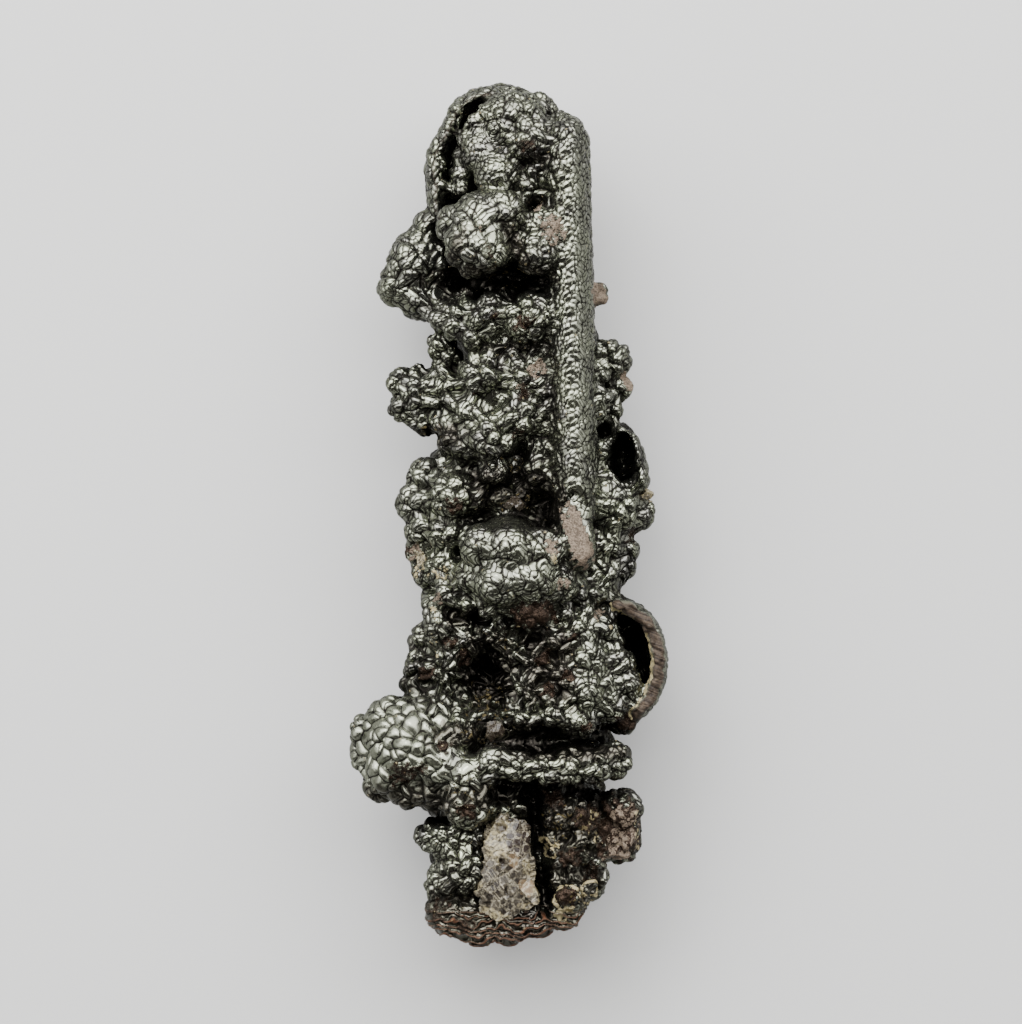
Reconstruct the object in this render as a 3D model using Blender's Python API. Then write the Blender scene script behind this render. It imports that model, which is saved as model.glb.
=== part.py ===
"""Botryoidal goethite with calcite, lying on its back with its lobed front up.

Frame: +Z up, +Y towards the crown, +X to the right of the lobed front. The origin is on the
surface that the specimen rests on, under the middle of its box. Lists are in millimetres.
"""

import math
import random

import bmesh
import bpy
import numpy as np
from mathutils import Matrix, Vector, kdtree

MM = 0.001

# Driving sizes, in millimetres. The specimen is 177 long, 65 wide and about 46 deep.
AXIS_HEIGHT = 19.0
SKIN_GRAIN = 0.9
FIT_GAP = 0.45
FLOOR_CUT = 120.0
PATCH_CUT = 14.0

# Round knobs all over the skin: their spacing and rise in millimetres. A knob reaches this share
# of the spacing, and this share of its rise stays below the skin that it swells from.
KNOB_SPACING = 5.6
KNOB_RISE = 1.3
KNOB_REACH = 0.8
KNOB_SUNK = 0.75

FACE_BUDGET = 8600
BALL_STEPS = 3

# The trunk's cross-section: distance along it, centre, half width, half depth.
TRUNK = [
    (80, -1.0, 6.5, 9.0),
    (74, 0.5, 9.5, 11.5),
    (66, 1.5, 11.5, 12.5),
    (57, 2.0, 12.5, 13.0),
    (48, 2.0, 12.5, 13.0),
    (39, 3.0, 12.5, 13.0),
    (30, 4.5, 13.0, 13.0),
    (21, 5.0, 13.5, 13.0),
    (12, 5.5, 13.5, 13.0),
    (3, 4.0, 16.0, 13.0),
    (-6, 4.0, 16.5, 13.5),
    (-15, 3.5, 16.0, 13.5),
    (-24, 3.0, 16.0, 13.5),
    (-33, 2.5, 18.0, 13.5),
    (-42, 1.0, 19.0, 13.5),
    (-51, 0.5, 20.0, 13.5),
    (-60, 1.0, 18.0, 13.5),
    (-69, 1.5, 15.5, 13.0),
    (-77, 1.5, 13.5, 12.0),
]
TRUNK_REACH = 8.5
# A lobe stands on a stalk from the trunk: shares of the way inwards and of the lobe's size.
STALK = [(0.22, 0.92), (0.44, 0.84), (0.66, 0.76)]

# Lobes of the front and the sides: x, y, z of the centre and the radius. A radius can be three.
CROWN = [
    (1, 79, 31, 7.0),
    (4.5, 75, 34.5, 5.3),
    (-5, 73.5, 31, 5.0),
    (-2, 68.5, 34, 5.0),
    (4.5, 65.5, 34.5, 3.0),
    (9.5, 67, 33, 4.5),
    (-9, 70, 27, 4.0),
    (-5, 82.4, 25, 4.6),
    (0.5, 82.8, 25, 4.6),
    (5.6, 81.6, 25, 4.6),
]
UPPER_LEFT = [
    (-19.5, 50.5, 24, (5.8, 7.0, 8.5)),
    (-22.3, 46.3, 24, (4.8, 4.6, 7.0)),
    (-17.8, 43.8, 24, (5.2, 5.0, 7.0)),
    (-16.8, 57, 23, (3.6, 5.0, 6.5)),
    (-24.8, 46, 23, (2.5, 2.6, 4.0)),
]
UPPER_MIDDLE = [
    (-5, 57, 36.5, 8.0),
    (-10.3, 58, 35.5, 4.6),
    (-1, 60.5, 40, 4.6),
    (-8.3, 53.5, 39.5, 5.0),
    (-4, 52.5, 41.5, 4.4),
    (-7, 49.8, 38.5, 3.3),
    (7, 56.5, 37, (5.4, 5.2, 5.2)),
    (5.6, 52, 39.5, 4.5),
    (10, 51.8, 36.5, 4.0),
]
UPPER_ROW = [
    (-13.4, 40, 29.5, 3.9),
    (-10.3, 38.8, 32.5, 4.3),
    (-9, 43.2, 30.5, 3.0),
    (-3.5, 40.3, 35, 5.0),
    (-7, 36.4, 34, 3.6),
    (3.8, 39.4, 36.5, 5.6),
    (-1, 43.3, 32.5, 3.6),
    (8.6, 41.5, 33.5, 4.2),
]
LEFT_KNOB = [
    (-21.9, 26.5, 25, 3.3),
    (-21.5, 21.5, 24, 3.5),
    (-17.5, 24.2, 26, 4.3),
    (-17, 18.8, 24, 3.6),
    (-13, 24, 27, 4.4),
    (-13.2, 28.6, 26, 3.2),
    (-12.6, 19, 26, 3.9),
    (-19.3, 28.8, 24, 2.2),
]
MIDDLE = [
    (-4.5, 27.5, 31, 6.2),
    (3, 27.5, 33, 5.0),
    (8, 29.5, 32.5, 4.2),
    (2.5, 19.3, 34.5, 4.8),
    (-3, 15.4, 34, 5.0),
    (-8, 14, 30, 4.2),
    (-7.2, 20.5, 30, 5.0),
    (-11.5, 15, 28, 3.4),
    (-2.8, 8.3, 32, 3.4),
    (7, 8.5, 31, (5.2, 5.5, 4.5)),
    (8.5, 15, 31, 4.5),
]
LEFT_LOBE = [
    (-16.3, 6.8, 26.5, 4.7),
    (-18, 2, 26.5, 5.0),
    (-11.5, 3.4, 31, 4.9),
    (-21, 0.8, 25.5, 2.7),
    (-13, -4.6, 30.5, 3.7),
    (-17.4, -3.2, 27.5, 4.1),
    (-18.2, -8, 25.5, 3.3),
    (-13.3, -11.4, 29.5, 4.0),
    (-16.4, -12.6, 26.5, 3.4),
]
BIG_MIDDLE = [
    (0, -9.5, 31.5, (9.5, 8.5, 8.5)),
    (-5.6, -7, 36, 4.6),
    (0.4, -7.6, 37.5, 5.2),
    (6.4, -8.2, 36.5, 5.0),
    (-2, -14.6, 37.5, 5.0),
    (-7, -13.2, 34, 4.2),
    (4.2, -13.8, 37, 5.4),
    (-3.2, -18.4, 35.5, 3.7),
    (9.6, -14.6, 34, 4.6),
    (4.6, -20.4, 35, 4.3),
]
RIGHT_SIDE = [
    (18.2, 44.4, 26, 2.6),
    (20.8, 31.2, 24, 4.6),
    (21.6, 25.4, 23, 4.1),
    (20.3, 20.8, 23, 3.7),
    (18.6, 12.8, 27, 2.9),
    (21.4, 1, 27, 5.7),
    (26.2, -0.2, 23, 4.0),
    (20.4, 5.8, 27, 3.7),
    (20, -6.6, 28, 3.4),
    (23.8, -7.6, 25, 3.2),
    (23.4, -10.6, 24, 3.2),
    (19.4, -12.6, 28, 3.4),
    (20, -17.6, 26, 3.4),
    (13, -16, 31, 4.2),
    (16.8, -16.2, 29, 3.7),
]
LOWER_COLUMN = [
    (-13.8, -19.8, 28.5, 4.2),
    (-16, -17.4, 25.5, 2.6),
    (-13.4, -24, 30, 4.1),
    (-17, -26, 26.5, 3.7),
    (-12.4, -28, 30.5, 3.2),
    (-17.2, -31, 26.5, 4.2),
    (-13.6, -32, 29.5, 3.6),
    (-8.4, -27, 31.5, 2.9),
    (-19.4, -34.4, 25.5, 3.2),
    (-2.6, -25, 32.5, 3.1),
    (1.4, -28.4, 32, 3.1),
    (5.4, -30.6, 33, 3.3),
    (4.2, -36.4, 33, 3.6),
    (9.2, -26.4, 33, 3.6),
    (10.6, -33.6, 33.5, 4.0),
    (14.4, -24.4, 32.5, 3.6),
    (16, -30, 32.5, 4.0),
    (15.4, -36.2, 33.5, 4.4),
    (19, -24, 29.5, 3.6),
    (20, -34, 30.5, 4.0),
    (20.4, -39.4, 30.5, 3.8),
    (3.4, -41.6, 32.5, 3.4),
    (9.6, -40.6, 33.5, 3.8),
    (14.6, -42.6, 33, 3.6),
    (24, -38.2, 27.5, 3.8),
    (23.4, -42.4, 26.5, 3.4),
]
LOWER_LEFT_LOBE = [
    (-20, -47, 28, (10.0, 9.6, 11.0)),
    (-28.6, -44.6, 28, 3.9),
    (-28.4, -49.6, 27, 4.0),
    (-24, -42.6, 30, 5.2),
    (-17, -42.8, 31.5, 5.6),
    (-11.6, -45.2, 32.5, 5.2),
    (-19, -48.6, 34, 6.2),
    (-24, -52.4, 31, 5.2),
    (-20.4, -56.6, 30, 4.0),
    (-26, -55.6, 27, 3.8),
    (-14.4, -51.2, 34, 5.2),
    (-15, -56.8, 32, 4.0),
    (-8, -54, 35.5, 4.8),
    (-8.5, -59.6, 35.5, 4.8),
]
LEDGE = [
    (-3, -51, 36.5, 3.8),
    (2, -51.8, 36.5, 3.6),
    (7, -52.2, 36.5, 3.6),
    (12, -52, 36.5, 3.6),
    (17, -51.6, 35.5, 3.8),
    (21.4, -50.4, 32.5, 4.1),
]
BASE = [
    (-15.6, -66, 27.0, 3.9),
    (-11.6, -67, 30.0, 4.7),
    (-9, -73, 31.0, 5.2),
    (-12.4, -75.6, 29.0, 5.0),
    (-11.4, -81, 28.0, 5.8),
    (-6, -83, 29.0, 5.4),
    (0, -83.2, 29.0, 5.0),
    (6, -81.8, 29.0, 4.8),
    (12.2, -62.4, 32.0, 5.2),
    (15.4, -67.4, 32.0, 4.8),
    (11.2, -70, 33.0, 4.2),
    (12.2, -76.8, 32.0, 5.0),
    (16.8, -75.4, 29.0, 4.2),
    (17, -70.6, 30.0, 4.2),
    (11.6, -81.2, 29.0, 3.9),
]

# The thin curled walls: points along each wall's middle line, its half thickness and half depth.
CROWN_CURL = [(-3.6, 85.4), (-7.4, 84.4), (-10.2, 82.2), (-11.6, 79), (-13.2, 75.8), (-15, 73),
              (-15.3, 69.6), (-14.8, 66.2), (-14.8, 62.6), (-14.2, 59.4)]
CROWN_CURL_SIZE = (2.1, 8.0, 23.0)
SIDE_CURL = [(22.4, 16.4), (24.8, 14.8), (26.2, 11.8), (27, 8.6), (27.2, 5.2)]
SIDE_CURL_SIZE = (1.8, 7.0, 24.0)
SHELL_CURL = [(22, -18.8), (25.2, -20), (28, -22.2), (29.9, -25.6), (30.7, -29.8), (30.4, -34),
              (28.8, -38), (26.2, -41)]
SHELL_CURL_SIZE = (1.9, 9.0, 25.0)

# Bodies behind the crevices and inside the curls, so that nothing can be seen through.
BACKING = [
    (-11.5, 50, 19, (6.5, 9.5, 8.0)),
    (-10, 70, 20, (5.0, 11.0, 7.0)),
    (-8, 80, 20, (4.0, 5.0, 6.0)),
    (22, 11, 17, (5.5, 8.0, 8.0)),
    (24, -30, 16, (6.5, 10.5, 8.5)),
    (12, 20, 22, (7.0, 12.0, 9.0)),
    (-8, 8, 22, (9.0, 8.0, 8.0)),
    (18, -8, 22, (8.0, 10.0, 8.0)),
    (-12, -26, 22, (6.0, 12.0, 8.0)),
    (-16, -48, 22, (12.0, 10.0, 10.0)),
    (14, -50, 26, (9.0, 3.5, 9.0)),
]

# The ridge that runs down the front's right side, as a chain from its crown end.
RIDGE_TOP = (11.4, 74.5)
RIDGE_FOOT = (13.4, 2.0)
RIDGE_SIZE = (5.2, 6.5, 10.5)
RIDGE_HEIGHT = 30.5
RIDGE_LINKS = 12

# Hollows cut into the mass: the same four values as a lobe.
HOLLOWS = [
    (-4.6, -33.6, 38, (4.6, 5.8, 13.5)),
    (23.4, 11.2, 31, (2.6, 5.2, 10.5)),
    (25.2, -28.8, 34, (3.6, 7.4, 16.0)),
    (24.4, -33.4, 34, (3.2, 5.0, 14.0)),
    (18.9, 40.0, 33, (1.5, 2.0, 6.0)),
    (4.6, -57.6, 40, (4.4, 2.6, 12.0)),
]
CLEFT = [(-6.2, 83), (-8.2, 80.4), (-9.8, 77), (-11.2, 73.6), (-12, 70), (-11.8, 66.6)]
CLEFT_SIZE = (1.6, 12.0, 36.0)
SLIT_TOP = (5.2, -58.5)
SLIT_FOOT = (7.2, -79.0)
SLIT_SIZE = (1.7, 4.4, 10.0)
SLIT_HEIGHT = 37.0
SLIT_LINKS = 6

# Broken faces: a point on the face, the way that it looks, and the cutter's half size.
BREAKS = [
    ((14.0, -4.6, 39.4), (-0.12, 0.1, 1.0), 6.5),
    ((22.8, -64.5, 32.0), (0.35, -0.1, 1.0), 6.5),
    ((27.2, -65.0, 25.0), (1.0, -0.25, 0.3), 7.0),
    ((19.4, 44.8, 27.6), (0.6, 0.4, 1.0), 2.6),
]
BROKEN_BAR = [
    (13.2, -1.0, 35, (3.4, 4.2, 7.0)),
    (14.0, -5.0, 35, (3.4, 4.2, 7.0)),
    (14.6, -8.4, 34, (3.2, 3.6, 6.6)),
]
BROKEN_BLOCK = [(22.6, -61.6, 26, 5.4), (22.6, -67.0, 25, 5.4)]

# Lobes of the unseen back, grown in rows round the trunk, and the six that it rests on.
BACK_ROW_STEP = 8.5
BACK_ANGLES = (196, 220, 244, 270, 296, 320, 344)
BACK_TURN_PLAY = 9
BACK_SHIFT_PLAY = 2.5
BACK_RADIUS = (4.4, 6.4)
BACK_SUNK = 0.55
BACK_CLEARANCE = 0.6
FEET = [(-8, -61), (11, -63), (-8, 34), (11, 37), (-10, -18), (15, -10)]
FOOT_HEIGHT = 6.1
FOOT_SIZE = (6.6, 6.6, 7.2)

# Calcite. Squeezed along its body diagonal to this share, a cube becomes a cleavage rhomb, whose
# faces then stand at this angle to the diagonal's plane.
RHOMB_SQUEEZE = 0.70
RHOMB_LEAN = 44.6
PATCH_OUTLINE = [
    (-1, -61), (1.5, -61.5), (3.3, -64), (3.9, -68), (4.5, -73), (4.7, -79), (3, -80.5), (0, -81.5),
    (-2.5, -83.5), (-5, -82.5), (-6, -80), (-6, -75), (-5, -70), (-5, -67), (-4, -64.5), (-2, -62.5),
]
PATCH_DEPTH = (29.0, 37.5)
# The patch's cleavage faces: a point on each and the way that it looks.
PATCH_FACES = [
    ((0, -77, 35.4), (0.10, -0.16, 1.0)),
    ((-1, -66, 36.0), (-0.22, 0.30, 1.0)),
    ((3.4, -72, 35.5), (0.55, 0.05, 1.0)),
    ((-5, -76, 34.8), (-0.60, -0.10, 1.0)),
]
RIGHT_EDGE_CRYSTALS = [
    (28.2, 3.6, 24.6, 2.3, (40, 20, 10)),
    (28.6, 1.2, 23.6, 1.9, (10, 60, 40)),
]
LEFT_CRYSTALS = [
    (-18.0, -8.6, 27.4, 2.3, (20, -35, 15)),
    (-17.0, -10.2, 27.9, 2.5, (-25, -20, 50)),
    (-17.2, -11.8, 27.6, 2.3, (30, -10, 70)),
]
UPPER_CREVICE_CRYSTALS = [
    (1.2, 2.2, 34.2, 2.1, (15, 10, 25)),
    (2.1, 1.6, 34.0, 1.9, (-20, 30, 60)),
    (0.3, 1.5, 33.9, 1.9, (35, -15, 5)),
]
LOWER_CREVICE_CRYSTALS = [
    (-3.4, -43.7, 33.6, 2.3, (10, 25, 45)),
    (-2.3, -44.3, 33.8, 2.2, (-30, 5, 20)),
    (-3.4, -45.1, 33.5, 2.1, (20, -20, 80)),
]
CALCITE = {
    "calcite_right_edge": RIGHT_EDGE_CRYSTALS,
    "calcite_left_edge": LEFT_CRYSTALS,
    "calcite_upper_crevice": UPPER_CREVICE_CRYSTALS,
    "calcite_lower_crevice": LOWER_CREVICE_CRYSTALS,
}


def material(name, colour, roughness, metallic):
    made = bpy.data.materials.new(name)
    made.use_nodes = True
    shader = made.node_tree.nodes["Principled BSDF"]
    shader.inputs["Base Color"].default_value = (*colour, 1.0)
    shader.inputs["Roughness"].default_value = roughness
    shader.inputs["Metallic"].default_value = metallic
    return made


def add_object(name, mesh):
    made = bpy.data.objects.new(name, mesh)
    bpy.context.scene.collection.objects.link(made)
    return made


def evaluated_mesh(piece):
    """The mesh that the piece's modifiers give, as a mesh of its own."""
    graph = bpy.context.evaluated_depsgraph_get()
    return bpy.data.meshes.new_from_object(piece.evaluated_get(graph))


def apply_modifiers(piece):
    mesh = evaluated_mesh(piece)
    piece.modifiers.clear()
    piece.data = mesh
    return piece


def sized(radius):
    return radius if isinstance(radius, tuple) else (radius, radius, radius)


def unit_ball():
    """Corner points and triangles of a ball of radius one."""
    form = bmesh.new()
    bmesh.ops.create_icosphere(form, subdivisions=BALL_STEPS, radius=1.0)
    points = np.array([vertex.co for vertex in form.verts])
    faces = np.array([[vertex.index for vertex in face.verts] for face in form.faces])
    form.free()
    return points, faces


def lobes_object(name, lobes):
    """One mesh of ellipsoids, each with its centre and half sizes in millimetres."""
    ball, faces = unit_ball()
    points = []
    sides = []
    for number, (x, y, z, radius) in enumerate(lobes):
        points.append((ball * sized(radius) + (x, y, z)) * MM)
        sides.append(faces + number * len(ball))
    mesh = bpy.data.meshes.new(name)
    mesh.from_pydata(np.concatenate(points).tolist(), [], np.concatenate(sides).tolist())
    return add_object(name, mesh)


def trunk_at(along):
    """Centre, half width and half depth of the trunk at a distance along it."""
    stations = sorted(TRUNK)
    places = [s[0] for s in stations]
    return [float(np.interp(along, places, [s[i] for s in stations])) for i in (1, 2, 3)]


def trunk():
    return [
        (centre, along, AXIS_HEIGHT, (half_width, TRUNK_REACH, half_depth))
        for along, centre, half_width, half_depth in TRUNK
    ]


def back(chance):
    """Rows of lobes round the side of the trunk that lies down, and the lobes it rests on."""
    low, high = TRUNK[-1][0], TRUNK[0][0]
    rows = round((high - low) / BACK_ROW_STEP)
    lobes = []
    for row in range(rows + 1):
        along = low + (high - low) * row / rows
        centre, half_width, half_depth = trunk_at(along)
        for angle in BACK_ANGLES:
            turn = math.radians(angle + chance.uniform(-BACK_TURN_PLAY, BACK_TURN_PLAY))
            radius = chance.uniform(*BACK_RADIUS)
            x = centre + (half_width - radius * BACK_SUNK) * math.cos(turn)
            z = AXIS_HEIGHT + (half_depth - 1.0) * math.sin(turn)
            shift = chance.uniform(-BACK_SHIFT_PLAY, BACK_SHIFT_PLAY)
            lobes.append((x, along + shift, max(z, radius + BACK_CLEARANCE), radius))
    return lobes + [(x, y, FOOT_HEIGHT, FOOT_SIZE) for x, y in FEET]


def curl(points, size):
    """A thin standing wall: overlapping lobes along its middle line."""
    half_thickness, half_depth, height = size
    lobes = []
    for (x0, y0), (x1, y1) in zip(points, points[1:]):
        for share in (0.0, 0.5):
            x = x0 + (x1 - x0) * share
            y = y0 + (y1 - y0) * share
            lobes.append((x, y, height, (half_thickness, half_thickness, half_depth)))
    return lobes


def on_stalks(lobes):
    """Each lobe with smaller ones behind it, down to the trunk that it grows from."""
    grown = list(lobes)
    for x, y, z, radius in lobes:
        centre = trunk_at(y)[0]
        for way, share in STALK:
            size = tuple(r * share for r in sized(radius))
            grown.append((x + (centre - x) * way, y, z + (AXIS_HEIGHT - z) * way, size))
    return grown


def chain(start, end, links, height, size):
    lobes = []
    for link in range(links):
        share = link / (links - 1)
        x = start[0] + (end[0] - start[0]) * share
        y = start[1] + (end[1] - start[1]) * share
        lobes.append((x, y, height, size))
    return lobes


def form_object(name, form):
    mesh = bpy.data.meshes.new(name)
    form.to_mesh(mesh)
    form.free()
    return add_object(name, mesh)


def voxel_union(piece, size):
    """Melts overlapping closed forms into one skin with edges of about this size, in mm."""
    remesh = piece.modifiers.new("Remesh", "REMESH")
    remesh.mode = "VOXEL"
    remesh.voxel_size = size * MM
    return apply_modifiers(piece)


def keep_largest_island(piece):
    """Drops any bubble that the union sealed inside the mass."""
    form = bmesh.new()
    form.from_mesh(piece.data)
    unseen = set(form.verts)
    islands = []
    while unseen:
        island, edge = set(), [unseen.pop()]
        while edge:
            vertex = edge.pop()
            island.add(vertex)
            for link in vertex.link_edges:
                other = link.other_vert(vertex)
                if other in unseen:
                    unseen.discard(other)
                    edge.append(other)
        islands.append(island)
    islands.sort(key=len)
    for island in islands[:-1]:
        bmesh.ops.delete(form, geom=list(island), context="VERTS")
    form.to_mesh(piece.data)
    form.free()
    return piece


def cut(piece, cutter, operation="DIFFERENCE"):
    """Takes the cutter out of the piece, or joins it to the piece."""
    boolean = piece.modifiers.new("Cut", "BOOLEAN")
    boolean.operation = operation
    boolean.solver = "EXACT"
    boolean.object = cutter
    apply_modifiers(piece)
    bpy.data.objects.remove(cutter)
    return piece


def box_cutter(point, facing, half_size):
    """A box that stands outside a plane, which goes through the point and looks the given way."""
    form = bmesh.new()
    bmesh.ops.create_cube(form, size=2.0 * half_size * MM)
    turn = Vector(facing).normalized().to_track_quat("Z", "Y").to_matrix().to_4x4()
    lift = Matrix.Translation((0, 0, half_size * MM))
    form.transform(Matrix.Translation(Vector(point) * MM) @ turn @ lift)
    return form_object("break_cutter", form)


def lobed_mass():
    """The whole mass of lobes, curls, ridge and backing, melted into one skin."""
    fronts = []
    for group in (CROWN, UPPER_LEFT, UPPER_MIDDLE, UPPER_ROW, LEFT_KNOB, MIDDLE, LEFT_LOBE,
                  BIG_MIDDLE, RIGHT_SIDE, LOWER_COLUMN, LOWER_LEFT_LOBE, LEDGE, BASE,
                  BROKEN_BAR, BROKEN_BLOCK):
        fronts += group
    lobes = trunk() + back(random.Random(11)) + on_stalks(fronts) + BACKING
    lobes += curl(CROWN_CURL, CROWN_CURL_SIZE)
    lobes += curl(SIDE_CURL, SIDE_CURL_SIZE)
    lobes += curl(SHELL_CURL, SHELL_CURL_SIZE)
    lobes += chain(RIDGE_TOP, RIDGE_FOOT, RIDGE_LINKS, RIDGE_HEIGHT, RIDGE_SIZE)
    return voxel_union(lobes_object("goethite", lobes), SKIN_GRAIN)


def hollows():
    """Every pit and the slit, melted into one cutter."""
    lobes = HOLLOWS + curl(CLEFT, CLEFT_SIZE)
    lobes += chain(SLIT_TOP, SLIT_FOOT, SLIT_LINKS, SLIT_HEIGHT, SLIT_SIZE)
    return voxel_union(lobes_object("hollow_cutter", lobes), SKIN_GRAIN)


def spaced_points(mesh, spacing, chance):
    """Vertices picked at random, none nearer to another than the spacing, in metres."""
    cells = {}
    kept = []
    order = list(range(len(mesh.vertices)))
    chance.shuffle(order)
    for index in order:
        point = mesh.vertices[index].co
        cell = tuple(int(math.floor(c / spacing)) for c in point)
        near = (
            other
            for i in (-1, 0, 1)
            for j in (-1, 0, 1)
            for k in (-1, 0, 1)
            for other in cells.get((cell[0] + i, cell[1] + j, cell[2] + k), ())
        )
        if all((other - point).length > spacing for other in near):
            cells.setdefault(cell, []).append(point.copy())
            kept.append(point.copy())
    return kept


def raise_knobs(piece, spacing, rise):
    """Swells the skin into round knobs, with a crease where two of them meet."""
    mesh = piece.data
    points = spaced_points(mesh, spacing * MM, random.Random(5))
    tree = kdtree.KDTree(len(points))
    for index, point in enumerate(points):
        tree.insert(point, index)
    tree.balance()
    count = len(mesh.vertices)
    places = np.empty(count * 3)
    ways = np.empty(count * 3)
    mesh.vertices.foreach_get("co", places)
    mesh.vertices.foreach_get("normal", ways)
    places = places.reshape(-1, 3)
    distances = np.array([tree.find(place)[2] for place in places])
    shares = np.minimum(distances / (spacing * KNOB_REACH * MM), 1.0)
    lift = (np.sqrt(1.0 - shares * shares) - KNOB_SUNK) * rise * MM
    places += ways.reshape(-1, 3) * lift[:, None]
    mesh.vertices.foreach_set("co", places.ravel())
    mesh.update()
    return piece


def thin_faces(piece, budget):
    decimate = piece.modifiers.new("Decimate", "DECIMATE")
    triangles = sum(len(p.vertices) - 2 for p in piece.data.polygons)
    decimate.ratio = budget / triangles
    return apply_modifiers(piece)


def rhomb(form, x, y, z, edge, turns):
    """A calcite cleavage rhomb: a cube stood on its corner, squeezed along that axis, turned."""
    made = bmesh.ops.create_cube(form, size=edge * MM)["verts"]
    stand = Vector((1, 1, 1)).rotation_difference(Vector((0, 0, 1))).to_matrix().to_4x4()
    squeeze = Matrix.Diagonal((1.0, 1.0, RHOMB_SQUEEZE, 1.0))
    lean = Matrix.Rotation(math.radians(RHOMB_LEAN), 4, "X")
    turn = Matrix.Identity(4)
    for angle, axis in zip(turns, "XYZ"):
        turn = Matrix.Rotation(math.radians(angle), 4, axis) @ turn
    place = Matrix.Translation(Vector((x, y, z)) * MM)
    bmesh.ops.transform(form, matrix=place @ turn @ lean @ squeeze @ stand, verts=made)


def crystal_group(name, crystals, grow=0.0):
    """Rhombs grown into each other, as one closed solid. Grow makes them larger, in mm."""
    pieces = []
    for x, y, z, edge, turns in crystals:
        form = bmesh.new()
        rhomb(form, x, y, z, edge + grow * 2.0, turns)
        pieces.append(form_object(name, form))
    group = pieces[0]
    for piece in pieces[1:]:
        cut(group, piece, "UNION")
    return group


def cleaved_patch(name, grow=0.0):
    """The slab of calcite at the base, cut by cleavage faces. Grow makes it larger, in mm."""
    outline = [Vector((x, y)) for x, y in PATCH_OUTLINE]
    middle = sum(outline, Vector((0, 0))) / len(outline)
    form = bmesh.new()
    rings = []
    for height in (PATCH_DEPTH[0] - grow, PATCH_DEPTH[1] + grow):
        ring = []
        for point in outline:
            out = point + (point - middle).normalized() * grow
            ring.append(form.verts.new(Vector((out.x, out.y, height)) * MM))
        rings.append(ring)
    form.faces.new(rings[0][::-1])
    form.faces.new(rings[1])
    for index in range(len(outline)):
        after = (index + 1) % len(outline)
        form.faces.new((rings[0][index], rings[0][after], rings[1][after], rings[1][index]))
    bmesh.ops.recalc_face_normals(form, faces=form.faces)
    slab = form_object(name, form)
    for point, facing in PATCH_FACES:
        lift = Vector(facing).normalized() * grow
        cut(slab, box_cutter(Vector(point) + lift, facing, PATCH_CUT))
    return slab


def build_goethite():
    mass = lobed_mass()
    cut(mass, hollows())
    keep_largest_island(voxel_union(mass, SKIN_GRAIN))
    raise_knobs(mass, KNOB_SPACING, KNOB_RISE)
    thin_faces(mass, FACE_BUDGET)
    for point, facing, half_size in BREAKS:
        cut(mass, box_cutter(point, facing, half_size))
    cut(mass, cleaved_patch("patch_pocket", FIT_GAP))
    for name, crystals in CALCITE.items():
        cut(mass, crystal_group(name + "_pocket", crystals, FIT_GAP))
    cut(mass, box_cutter((0, 0, 0), (0, 0, -1), FLOOR_CUT))
    keep_largest_island(mass)
    mass.data.materials.clear()
    mass.data.materials.append(material("goethite", (0.055, 0.053, 0.05), 0.22, 0.75))
    return mass


def build_calcite():
    calcite = material("calcite", (0.72, 0.68, 0.6), 0.2, 0.0)
    groups = [crystal_group(name, crystals) for name, crystals in CALCITE.items()]
    for group in [cleaved_patch("calcite_cleaved_patch")] + groups:
        group.data.materials.clear()
        group.data.materials.append(calcite)


def centre_all():
    """Puts the middle of the whole specimen's box over the origin."""
    pieces = [piece for piece in bpy.data.objects if piece.type == "MESH"]
    corners = np.array([vertex.co for piece in pieces for vertex in piece.data.vertices])
    middle = (corners.min(axis=0) + corners.max(axis=0)) / 2.0
    for piece in pieces:
        piece.data.transform(Matrix.Translation((-middle[0], -middle[1], 0.0)))


def main():
    for old in list(bpy.data.objects):
        bpy.data.objects.remove(old)
    build_goethite()
    build_calcite()
    centre_all()


main()
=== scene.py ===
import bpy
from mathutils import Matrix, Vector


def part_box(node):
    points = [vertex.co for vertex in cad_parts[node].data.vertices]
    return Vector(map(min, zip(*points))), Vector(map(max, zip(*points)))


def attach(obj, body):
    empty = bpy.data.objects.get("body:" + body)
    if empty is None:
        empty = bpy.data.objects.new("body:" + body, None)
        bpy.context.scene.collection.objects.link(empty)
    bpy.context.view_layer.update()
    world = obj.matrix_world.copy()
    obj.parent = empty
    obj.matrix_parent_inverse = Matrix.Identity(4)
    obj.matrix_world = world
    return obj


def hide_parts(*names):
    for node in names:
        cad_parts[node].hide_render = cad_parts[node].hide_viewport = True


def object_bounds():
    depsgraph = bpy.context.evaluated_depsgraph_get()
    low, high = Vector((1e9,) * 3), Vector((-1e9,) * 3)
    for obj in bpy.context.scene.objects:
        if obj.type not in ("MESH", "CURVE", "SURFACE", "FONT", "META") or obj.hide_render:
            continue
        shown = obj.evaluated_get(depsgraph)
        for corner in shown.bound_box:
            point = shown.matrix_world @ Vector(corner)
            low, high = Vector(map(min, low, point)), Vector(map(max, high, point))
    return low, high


bl_info = {
    "name": "Goethite with calcite",
    "version": (1, 0, 0),
    "blender": (4, 5, 0),
    "location": "3D View > Sidebar > Goethite",
    "description": "Builds a botryoidal goethite specimen with cleaved calcite, and its stage",
    "category": "Object",
}

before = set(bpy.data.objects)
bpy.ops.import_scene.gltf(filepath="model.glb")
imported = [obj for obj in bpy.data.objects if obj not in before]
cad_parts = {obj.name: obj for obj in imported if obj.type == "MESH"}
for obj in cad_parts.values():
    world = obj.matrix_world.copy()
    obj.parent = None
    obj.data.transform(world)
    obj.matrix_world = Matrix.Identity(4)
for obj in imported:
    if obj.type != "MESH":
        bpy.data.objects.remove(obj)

import itertools
import math
import random
from collections import namedtuple

import bpy
import numpy as np
from bpy.props import FloatProperty, FloatVectorProperty, IntProperty, PointerProperty
from mathutils import Matrix, Vector, kdtree

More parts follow.
